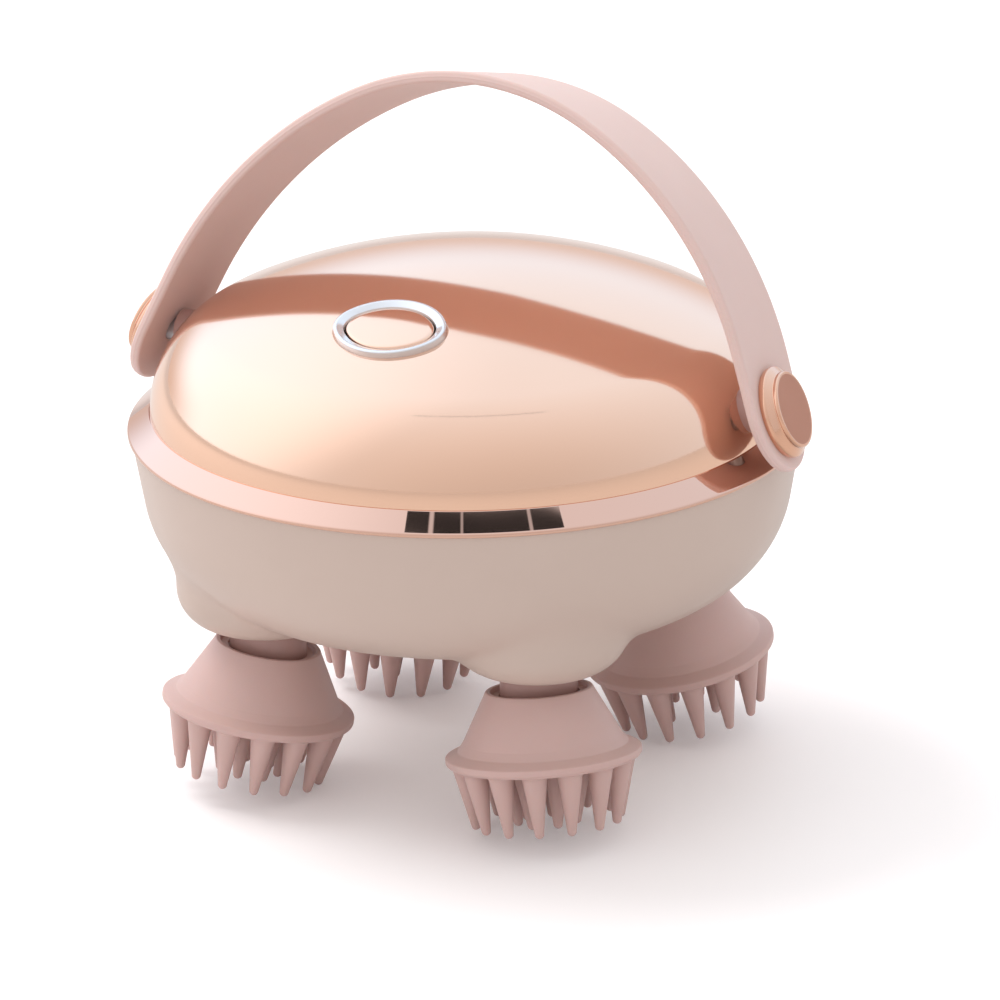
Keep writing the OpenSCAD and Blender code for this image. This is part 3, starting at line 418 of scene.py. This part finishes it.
def bowl_outside(columns):
    """The bowl's outer surface, pushed out along its normals to where it blends into the bosses."""
    line, turn = bowl_line(), around(columns)
    base = np.concatenate([ring(r, z, turn) for r, z, _, _ in line])
    out = np.concatenate([ring(nr, nz, turn) for _, _, nr, nz in line])
    near, far = np.zeros(len(base)), np.full(len(base), BLEND_REACH)
    for _ in range(BLEND_HALVINGS):
        d = (near + far) / 2
        boss = boss_distance(base + out * d[:, None])
        soft = np.maximum(BOSS_BLEND - np.abs(d - boss), 0) / BOSS_BLEND
        within = np.minimum(d, boss) - soft ** 2 * BOSS_BLEND / 4 < 0
        near, far = np.where(within, d, near), np.where(within, far, d)
    outside = base + out * near[:, None]
    outside[:, 2] = np.maximum(outside[:, 2], BOSS_FACE_Z)
    return outside, len(line)


def make_housing():
    columns = 400
    outside, rows = bowl_outside(columns)
    seat_r, seat_z = BOWL_TOP_R - BOWL_T, SEAM_Z - TONGUE_H - SEAT_GAP
    inner = [(r, z) for r, z, _, _ in bowl_line(BOWL_T) if z < seat_z]
    rim = [(BOWL_TOP_R - 0.05, SEAM_Z - 0.16), (BOWL_TOP_R - 0.18, SEAM_Z - 0.04),
           (BOWL_TOP_R - 0.32, SEAM_Z), (seat_r, SEAM_Z), (seat_r, seat_z), (inner[-1][0], seat_z)]
    rest, _ = revolved(rim + inner[::-1], columns)
    points = np.concatenate([outside, rest])
    piece = new_object("housing_shell", points, grid_faces(rows + len(rim) + len(inner), columns))

    floor_z, recess_z = BOSS_FACE_Z + BOSS_DROP + NECK_RECESS, BOSS_FACE_Z + NECK_RECESS
    recess_r, pocket_r = NECK_R + NECK_GAP, BOSS_R - BOWL_T
    pocket = [(0, BOSS_FACE_Z - 1), (recess_r + 1.25, BOSS_FACE_Z - 1), (recess_r, BOSS_FACE_Z + 0.25),
              (recess_r, recess_z), (BUSH_R, recess_z), (BUSH_R, floor_z),
              (pocket_r - POCKET_CHAMFER, floor_z), (pocket_r, floor_z + POCKET_CHAMFER),
              (pocket_r, floor_z + POCKET_WALL_H), (0, floor_z + POCKET_H)]
    for name, angle in HEADS.items():
        place = turned(angle, "Z") @ moved(HEAD_AT, 0, 0)
        combined(piece, new_object("pocket_" + name, *revolved(pocket, 96), place), "DIFFERENCE")
    place = moved(0, SOCKET_CUT_AT, SOCKET_Z) @ turned(-90, "X")
    hole = rod(SOCKET_HOLE_R, SOCKET_CUT_HALF, 64)
    combined(piece, new_object("socket_hole", *hole, place), "DIFFERENCE")
    return piece


# ---- power key ----

OVAL_COLUMNS = 192


def make_bezel():
    turn = around(OVAL_COLUMNS)
    outer, inner = oval_reach(RING_A, RING_B, turn), oval_reach(RING_A - RING_W, RING_B - RING_W, turn)
    profile = filleted([
        (0.0, RING_UP - RING_T, 0.1), (0.0, RING_UP - 0.02, 0.22), (0.30, RING_UP, 0.2), (0.92, 0.16, 0.1),
        (1.0, -0.25, 0.05), (1.0, RING_UP - RING_T, 0.1),
    ])
    rows = [ring(outer * (1 - share) + inner * share, z, turn) for share, z in profile]
    faces = grid_faces(len(rows), OVAL_COLUMNS, True)
    return new_object("power_bezel", np.concatenate(rows), faces, IN_BUTTON)


def make_key():
    press_a, press_b = RING_A - RING_W - BUTTON_GAP, RING_B - RING_W - BUTTON_GAP
    top = RING_UP - 0.2
    crown = [(s, top - (s * press_a) ** 2 / (2 * CROWN_R)) for s in np.linspace(0, 0.955, 16)]
    edge = crown[-1][1]
    profile = crown + [(0.98, edge - 0.08), (0.995, edge - 0.2), (1.0, edge - 0.4), (1.0, top - BUTTON_T)]
    stem = STEM_R / press_b
    profile += [(stem, top - BUTTON_T), (stem, top - BUTTON_T - STEM_H), (0, top - BUTTON_T - STEM_H)]
    turn = around(OVAL_COLUMNS)
    rows = [ring(oval_reach(press_a, press_b, turn) * share, z, turn) for share, z in profile]
    faces = grid_faces(len(rows), OVAL_COLUMNS)
    return new_object("power_key_face", np.concatenate(rows), faces, IN_BUTTON)


# ---- handle ----

IN_HANDLE = moved(0, 0, PIVOT_Z) @ turned(-HANDLE_LEAN, "X")
SIDE_MIDDLE = np.array((PIVOT_X - STRAP_STRAIGHT * sin(STRAP_SPLAY) - STRAP_SIDE_R * cos(STRAP_SPLAY),
                        STRAP_STRAIGHT * cos(STRAP_SPLAY) - STRAP_SIDE_R * sin(STRAP_SPLAY)))
STRAP_TURN = math.degrees(math.acos(-SIDE_MIDDLE[0] / (STRAP_SIDE_R - STRAP_TOP_R)))
TOP_MIDDLE = SIDE_MIDDLE + (STRAP_SIDE_R - STRAP_TOP_R) * np.array((cos(STRAP_TURN), sin(STRAP_TURN)))
SIDE_LENGTH = math.radians(STRAP_TURN - STRAP_SPLAY) * STRAP_SIDE_R
HALF_LENGTH = STRAP_STRAIGHT + SIDE_LENGTH + math.radians(90 - STRAP_TURN) * STRAP_TOP_R


def strap_point(along, across, off):
    """A point of the strap: along its line from the right pivot, across it, and off its middle surface."""
    mirrored = along > HALF_LENGTH
    s = 2 * HALF_LENGTH - along if mirrored else along
    if s <= STRAP_STRAIGHT:
        angle = STRAP_SPLAY
        foot = np.array((PIVOT_X, 0.0)) + s * np.array((-sin(angle), cos(angle)))
    elif s <= STRAP_STRAIGHT + SIDE_LENGTH:
        angle = STRAP_SPLAY + math.degrees((s - STRAP_STRAIGHT) / STRAP_SIDE_R)
        foot = SIDE_MIDDLE + STRAP_SIDE_R * np.array((cos(angle), sin(angle)))
    else:
        angle = STRAP_TURN + math.degrees((s - STRAP_STRAIGHT - SIDE_LENGTH) / STRAP_TOP_R)
        foot = TOP_MIDDLE + STRAP_TOP_R * np.array((cos(angle), sin(angle)))
    x, z = foot + off * np.array((cos(angle), sin(angle)))
    return (-x if mirrored else x, across, z)


def half_width(along):
    """Half the strap's width, which narrows evenly from its middle to its ends."""
    x = min(abs(strap_point(along, 0, 0)[0]), PIVOT_X)
    return STRAP_MID_W / 2 - (STRAP_MID_W - STRAP_END_W) / 2 * x / PIVOT_X


def strap_loops():
    """The strap's section as loops round it: (inset, height), where -1 to 0 is a share of the flat face."""
    edge, half = STRAP_EDGE_R, STRAP_T / 2
    side = [(edge - edge * sin(a), half - edge + edge * cos(a)) for a in np.linspace(0, 90, 8)]
    side += [(0.0, 0.16), (-STRAP_SEAM, 0.07), (-STRAP_SEAM, -0.07), (0.0, -0.16)]
    side += [(d, -h) for d, h in side[7::-1]]
    top = [(-(1 - u), half) for u in np.linspace(0, 1, 7)[:-1]] + [(STRAP_BORDER, half), (1.2, half)]
    return top + side + [(inset, -h) for inset, h in top[::-1]]


def make_strap():
    length, end_r = 2 * HALF_LENGTH, STRAP_END_W / 2
    stations = np.linspace(0, length, 221)
    widths = np.array([half_width(s) for s in stations])
    round_end = np.linspace(-90, 90, 41)[1:-1]
    rows = []
    for inset, off in strap_loops():
        if inset < 0 and inset != -STRAP_SEAM:
            w, r = (widths - STRAP_BORDER) * (1 + inset), (end_r - STRAP_BORDER) * (1 + inset)
        else:
            w, r = widths - inset, end_r - inset
        line = [(s, -x) for s, x in zip(stations, w)]
        line += [(length + r * cos(a), r * sin(a)) for a in round_end]
        line += [(s, x) for s, x in zip(stations[::-1], w[::-1])]
        line += [(-r * cos(a), -r * sin(a)) for a in round_end]
        rows.append([strap_point(s, x, off) for s, x in line])
    points = np.concatenate([np.array(r) for r in rows])
    piece = new_object("strap", points, grid_faces(len(rows), len(rows[0])), IN_HANDLE)
    hole = rod(PIN_R + PIN_HOLE_GAP, PIN_CUT_HALF, 48)
    combined(piece, new_object("pin_hole", *hole, IN_HANDLE @ turned(90, "Y")), "DIFFERENCE")
    return piece


def make_cap_profile():
    low = STRAP_T / 2
    top = low + PIVOT_CAP_T
    return filleted([
        (0, low, 0), (PIVOT_CAP_R - 0.15, low, 0.1), (PIVOT_CAP_R, low + 0.5, 0.5),
        (PIVOT_CAP_R, low + 1.15, 0.5), (PIVOT_FACE_R - 0.15, low + 2.15, 0.25),
        (PIVOT_FACE_R, low + 2.35, 0.15), (PIVOT_FACE_R, top, 0.32), (PIVOT_FACE_R - 0.55, top - 0.10, 0.1),
        (0, top - 0.10, 0),
    ], 5)


def cap_place(side):
    return IN_HANDLE @ moved(side * PIVOT_X, 0, 0) @ turned(side * (90 - STRAP_SPLAY), "Y")


def make_pivot_cap(name, side):
    return new_object(name, *revolved(make_cap_profile(), 144), cap_place(side))


def paint_cap_face(piece, side):
    """Gives the cap's flat outer face its matt paint, inside the bright rim."""
    piece.data.materials.append(FINISHES["cap_face"])
    into_cap = cap_place(side).inverted()
    for face in piece.data.polygons:
        spot = into_cap @ (face.center / MM)
        face.material_index = int(math.hypot(spot.x, spot.y) < PIVOT_FACE_R - 0.5 and spot.z > STRAP_T)


# ---- heads ----

def make_head():
    """The soft cap with its prongs, in its own frame: the collar's top is at z = 0."""
    core_low, core_r, core_low_r, hub_r = -CAP_H + CAP_T, COLLAR_R - CAP_T, FLANGE_R - 3, NECK_R + HUB_GAP
    profile = filleted([
        (0, -CAP_H, 0), (FLANGE_R - 0.5, -CAP_H, 0.3), (FLANGE_R, -CAP_H + 0.5, 0.5),
        (FLANGE_R, -CAP_H + 1.5, 0.35), (FLANGE_R - 2.2, -CAP_H + 2.5, 0.8),
        (FLANGE_R - 3.2, -CAP_H + 3.9, 1.4), (COLLAR_R + 0.5, -1.0, 1.2), (COLLAR_R, 0, 0.3),
        (COLLAR_R - COLLAR_LIP, 0, 0.3), (COLLAR_R - COLLAR_LIP - 0.3, -COLLAR_DISH, 0.25),
        (hub_r, -COLLAR_DISH, 0), (hub_r, CORE_TOP, 0), (core_r, CORE_TOP, 0), (core_low_r, core_low, 0),
        (0, core_low, 0),
    ], 5)
    cap = new_object("head_blank", *revolved(profile, 144))

    drop = PRONG_H - PRONG_TIP_R + PRONG_SINK
    length = math.hypot(drop, PRONG_DRAW)
    taper = [(t * length, PRONG_ROOT_R + (PRONG_TIP_R - PRONG_ROOT_R) * t) for t in np.linspace(0, 1, 13)]
    line = [(0, 0), (PRONG_ROOT_R + 0.2, 0), (PRONG_ROOT_R + 0.2, 0.48), (PRONG_ROOT_R + 0.02, 0.62),
            (PRONG_ROOT_R - 0.12, 0.85)]
    line += [(r, z) for z, r in taper if z > 0.95]
    line += [(PRONG_TIP_R * cos(a), length + PRONG_TIP_R * sin(a)) for a in np.linspace(0, 90, 8)[1:]]
    blank, quads = revolved(line, 28)
    points, faces = [], []
    lean = math.degrees(math.atan(PRONG_DRAW / drop))
    for ring_r, count, shift in ((INNER_RING_R, INNER_PRONGS, 0.5), (OUTER_RING_R, 2 * INNER_PRONGS, 0.0)):
        for i in range(count):
            place = (turned(180 + 360 / count * (i + shift), "Z")
                     @ moved(ring_r + PRONG_DRAW, 0, PRONG_SINK - CAP_H) @ turned(180 + lean, "Y"))
            faces += [tuple(k + len(points) for k in quad) for quad in quads]
            points += [place @ Vector(p) for p in blank]
    combined(cap, new_object("prongs", points, faces), "UNION")
    return cap


# ---- the pieces, each on its body ----

finished(make_dome(), "body", "rose_mirror", "top_shell")
band = finished(make_band(), "body", "rose_mirror", "trim_band")
# The band gets the darker copy of the rose mirror, which paints shade on it.
band.data.materials[0] = FINISHES["band_mirror_painted_shade"]
finished(make_housing(), "body", "housing_plastic", "lower_housing")
finished(make_bezel(), "body", "clear_ring", "power_ring")
finished(make_key(), "power_key", "rose_mirror", "power_button")
finished(make_strap(), "handle", "soft_strap", "handle_strap")
for side_name, side_sign in (("left", -1), ("right", 1)):
    cap = make_pivot_cap("cap_" + side_name, side_sign)
    finished(cap, "handle", "rose_plastic", "pivot_cap_" + side_name)
    paint_cap_face(cap, side_sign)

head_blank = make_head()
for head_name, head_angle in HEADS.items():
    head = bpy.data.objects.new("soft_head_" + head_name, head_blank.data.copy())
    bpy.context.scene.collection.objects.link(head)
    head_place = turned(head_angle, "Z") @ moved(HEAD_AT, 0, NECK_TOP_Z) @ turned(-HEAD_TILT, "Y")
    head_place.translation *= MM
    head.data.transform(head_place)
    finished(head, "head_" + head_name, "head_silicone", "head_cap_" + head_name)
bpy.data.objects.remove(head_blank)

# ---- CAD nodes that stay get the finish of their slot ----

NODE_SLOTS = {row["node"]: row["material_slot"] for row in frame["record"]["subparts"]}
NODE_SLOTS["pivot_spacers"] = "hub_plastic"
for node_name, node in frame["nodes"].items():
    if not node.hide_render:
        node.data.materials.clear()
        node.data.materials.append(FINISHES[NODE_SLOTS[node_name]])

# ---- camera, fitted to the photograph ----

CAMERA_AZIMUTH, CAMERA_ELEVATION, CAMERA_ROLL = 26.49, 19.74, -0.83
CAMERA_DISTANCE, CAMERA_FOCAL_PX, FRAME_PX, SENSOR_WIDTH = 1306.55, 7506.28, 1000, 36.0
CAMERA_TARGET, CAMERA_REACH = Vector((6.22, 0, 48.25)), 100
FRONT = Vector((sin(CAMERA_AZIMUTH), -cos(CAMERA_AZIMUTH), 0))
SIDE = Vector((cos(CAMERA_AZIMUTH), sin(CAMERA_AZIMUTH), 0))
back = FRONT * cos(CAMERA_ELEVATION) + Vector((0, 0, sin(CAMERA_ELEVATION)))
up = back.cross(SIDE)
camera_right = SIDE * cos(CAMERA_ROLL) + up * sin(CAMERA_ROLL)
camera_up = up * cos(CAMERA_ROLL) - SIDE * sin(CAMERA_ROLL)
camera_data = bpy.data.cameras.new("camera")
camera_data.sensor_width = SENSOR_WIDTH
camera_data.lens = CAMERA_FOCAL_PX * SENSOR_WIDTH / FRAME_PX
camera_data.clip_end = CAMERA_REACH
camera = bpy.data.objects.new("camera", camera_data)
camera_place = Matrix((camera_right, camera_up, back)).transposed().to_4x4()
camera_place.translation = (CAMERA_TARGET + back * CAMERA_DISTANCE) * MM
camera.matrix_world = camera_place
bpy.context.scene.collection.objects.link(camera)
bpy.context.scene.camera = camera

# ---- studio ----

UP = Vector((0, 0, 1))


def studio_way(front, side, up_part):
    """A direction seen from the camera: towards it, to its right, and up."""
    return FRONT * front + SIDE * side + UP * up_part


def times(tree, one, other):
    node = add_node(tree, "ShaderNodeMath", operation="MULTIPLY")
    tree.links.new(one, node.inputs[0])
    tree.links.new(other, node.inputs[1])
    return node.outputs[0]


def share_of(tree, direction, towards):
    dot = add_node(tree, "ShaderNodeVectorMath", operation="DOT_PRODUCT")
    dot.inputs[1].default_value = towards
    tree.links.new(direction, dot.inputs[0])
    return dot.outputs["Value"]


def ramp(tree, value, start, end, low, high, shape="SMOOTHSTEP"):
    """Goes from low to high as value goes from start to end."""
    node = add_node(tree, "ShaderNodeMapRange", interpolation_type=shape)
    for key, level in (("From Min", start), ("From Max", end), ("To Min", low), ("To Max", high)):
        node.inputs[key].default_value = level
    tree.links.new(value, node.inputs["Value"])
    return node.outputs["Result"]


def blended(tree, factor, one, other):
    """One shader where the factor is 0, the other where it is 1."""
    node = add_node(tree, "ShaderNodeMixShader")
    tree.links.new(factor, node.inputs["Fac"])
    tree.links.new(one.outputs[0], node.inputs[1])
    tree.links.new(other.outputs[0], node.inputs[2])
    return node


def tinted(tree, factor, one, other):
    """One colour where the factor is 0, the other where it is 1."""
    node = add_node(tree, "ShaderNodeMix", data_type="RGBA")
    node.inputs["A"].default_value = (*one, 1)
    node.inputs["B"].default_value = (*other, 1)
    tree.links.new(factor, node.inputs["Factor"])
    return node


def background(tree, colour):
    node = add_node(tree, "ShaderNodeBackground")
    node.inputs["Color"].default_value, node.inputs["Strength"].default_value = (*colour, 1), 1.0
    return node


FLOOR_RINGS = (0, 0.1, 0.3, 0.6, 1.2, 2.5, 5, 10, 20)
FLOOR_PALE, FLOOR_SHADE, FLOOR_SHINE = (0.90, 0.87, 0.88), (0.93, 0.90, 0.91), (0.64, 0.62, 0.61)
FLOOR_ROUGHNESS, FLOOR_GRAIN, FLOOR_LIFT = 0.6, 8.0, 0.14


def make_floor():
    """A plain pale floor that keeps the object's shadow, fades into the white, and is clear from below."""
    floor = new_object("studio_floor", *revolved([(r / MM, 0) for r in FLOOR_RINGS], 64))
    material = bpy.data.materials.new("studio_floor")
    material.use_nodes = True
    tree = material.node_tree
    surface = tree.nodes["Principled BSDF"]
    surface.inputs["Roughness"].default_value = FLOOR_ROUGHNESS
    surface.inputs["Emission Color"].default_value = (1, 1, 1, 1)
    place = add_node(tree, "ShaderNodeTexCoord")
    grain = add_node(tree, "ShaderNodeTexNoise", {"Scale": FLOOR_GRAIN, "Detail": 2.0})
    tree.links.new(place.outputs["Object"], grain.inputs["Vector"])
    rays = add_node(tree, "ShaderNodeLightPath")
    pale = tinted(tree, grain.outputs["Fac"], FLOOR_PALE, FLOOR_SHADE)
    shine = tinted(tree, rays.outputs["Is Glossy Ray"], FLOOR_PALE, FLOOR_SHINE)
    tree.links.new(pale.outputs["Result"], shine.inputs["A"])
    tree.links.new(shine.outputs["Result"], surface.inputs["Base Color"])
    seen = add_node(tree, "ShaderNodeMath", operation="MAXIMUM")
    tree.links.new(rays.outputs["Is Camera Ray"], seen.inputs[0])
    tree.links.new(rays.outputs["Is Transmission Ray"], seen.inputs[1])
    lift = ramp(tree, seen.outputs[0], 0, 1, 0, FLOOR_LIFT, "LINEAR")
    tree.links.new(lift, surface.inputs["Emission Strength"])
    facing = add_node(tree, "ShaderNodeNewGeometry").outputs["Backfacing"]
    one_sided = blended(tree, facing, surface, add_node(tree, "ShaderNodeBsdfTransparent"))
    tree.links.new(one_sided.outputs[0], tree.nodes["Material Output"].inputs["Surface"])
    if floor.data.polygons[0].normal.z < 0:
        floor.data.flip_normals()
    floor.data.materials.append(material)


make_floor()

# The dark gap between the studio's overhead panels: a strip across the front, bowed towards its ends.
GAP_AT, GAP_BOW, GAP_HALF, GAP_SOFT, GAP_ENDS = 0.0813, 0.835, 0.0036, 0.0010, (-0.192, 0.283)
GAP_DARK = -0.97
# The bright bars in it: place, half width and brightness.
GAP_BARS = ((-0.115, 0.007, 0.75), (-0.02, 0.004, 0.5), (0.19, 0.005, 0.6))


def make_gap(tree, direction):
    """How dark each direction is for the gap, from 0 to 1."""
    front, side = share_of(tree, direction, FRONT), share_of(tree, direction, SIDE)
    bow = add_node(tree, "ShaderNodeMath", operation="MULTIPLY_ADD")
    bow.inputs[1].default_value = GAP_BOW
    tree.links.new(times(tree, side, side), bow.inputs[0])
    tree.links.new(front, bow.inputs[2])
    dark = ramp(tree, share_of(tree, direction, UP), 0.2, 0.3, 0, 1, "LINEAR")
    for value, edges in ((bow.outputs[0], (GAP_AT - GAP_HALF, GAP_AT + GAP_HALF)), (side, GAP_ENDS)):
        for edge, soft in zip(edges, (GAP_SOFT, -GAP_SOFT)):
            dark = times(tree, dark, ramp(tree, value, edge - soft, edge + soft, 0, 1))
    for at, half, amount in GAP_BARS:
        away = add_node(tree, "ShaderNodeMath", operation="SUBTRACT")
        away.inputs[1].default_value = at
        tree.links.new(side, away.inputs[0])
        size = add_node(tree, "ShaderNodeMath", operation="ABSOLUTE")
        tree.links.new(away.outputs[0], size.inputs[0])
        dark = times(tree, dark, ramp(tree, size.outputs[0], half * 0.5, half * 1.5, 1 - amount, 1))
    return dark


# What shines in the metal: a broad fall of light, a glow on the left, a cool back and a dim back wall.
BROAD_FALL, BROAD_LOW, BROAD_HIGH = studio_way(-0.29, -0.08, 0.10), 0.03, 1.93
LEFT_GLOW, LEFT_AMOUNT = studio_way(-0.35, -0.85, 0.40), 0.42
FRONT_TINT, BACK_TINT = (1.0, 0.98, 0.99), (0.77, 0.97, 1.20)
BACK_WALL = (0.80, 0.70, 0.66)
# What lights the matt surfaces.
PLAIN_FALL, PLAIN_LOW, PLAIN_HIGH = studio_way(-0.22, -0.14, 0.12), -0.05, 1.95
PLAIN_TINT = (1, 0.99, 0.98)


def make_world():
    """A soft pale studio: white to the camera, shaded where it shines in metal, plain as a light."""
    world = bpy.data.worlds.new("studio")
    bpy.context.scene.world = world
    world.use_nodes = True
    tree = world.node_tree
    tree.nodes.clear()
    direction = add_node(tree, "ShaderNodeTexCoord").outputs["Generated"]
    front = share_of(tree, direction, FRONT)

    total = add_node(tree, "ShaderNodeMath", operation="ADD")
    broad, left = share_of(tree, direction, BROAD_FALL), share_of(tree, direction, LEFT_GLOW)
    tree.links.new(ramp(tree, broad, -1, 1, BROAD_LOW, BROAD_HIGH, "LINEAR"), total.inputs[0])
    tree.links.new(ramp(tree, left, 0.4, 1.0, 0, LEFT_AMOUNT), total.inputs[1])
    keep = add_node(tree, "ShaderNodeMath", operation="MULTIPLY_ADD")
    tree.links.new(make_gap(tree, direction), keep.inputs[0])
    keep.inputs[1].default_value, keep.inputs[2].default_value = GAP_DARK, 1.0
    shown = background(tree, FRONT_TINT)
    tint = tinted(tree, ramp(tree, front, 1, -1, 0, 1, "LINEAR"), FRONT_TINT, BACK_TINT)
    tree.links.new(tint.outputs["Result"], shown.inputs["Color"])
    tree.links.new(times(tree, total.outputs[0], keep.outputs[0]), shown.inputs["Strength"])
    low = ramp(tree, share_of(tree, direction, UP), 0.0, 0.34, 1, 0)
    behind = ramp(tree, front, -0.35, -0.85, 0, 1)
    shiny = blended(tree, times(tree, low, behind), shown, background(tree, BACK_WALL))

    plain = background(tree, PLAIN_TINT)
    level = ramp(tree, share_of(tree, direction, PLAIN_FALL), -1, 1, PLAIN_LOW, PLAIN_HIGH, "LINEAR")
    tree.links.new(level, plain.inputs["Strength"])

    rays = add_node(tree, "ShaderNodeLightPath")
    light = blended(tree, rays.outputs["Is Glossy Ray"], plain, shiny)
    shown_world = blended(tree, rays.outputs["Is Camera Ray"], light, background(tree, (1, 1, 1)))
    output = add_node(tree, "ShaderNodeOutputWorld")
    tree.links.new(shown_world.outputs[0], output.inputs["Surface"])


make_world()

LAMP_MIDDLE, LAMP_DISTANCE, LAMP_SIZE, LAMP_POWER = Vector((0, 0, 0.05)), 1.2, 0.7, 6.8


def make_lamp(name, towards):
    """A soft disk lamp that lights the matt surfaces and doesn't show in the metal."""
    data = bpy.data.lights.new(name, "AREA")
    data.shape, data.size, data.energy = "DISK", LAMP_SIZE, LAMP_POWER
    lamp = bpy.data.objects.new(name, data)
    away = towards.normalized() * LAMP_DISTANCE
    lamp.location = LAMP_MIDDLE + away
    lamp.rotation_euler = away.to_track_quat("Z", "Y").to_euler()
    lamp.visible_glossy = False
    bpy.context.scene.collection.objects.link(lamp)


make_lamp("key", studio_way(-0.35, -0.6, 0.9))

bpy.context.scene.view_settings.view_transform = "Standard"
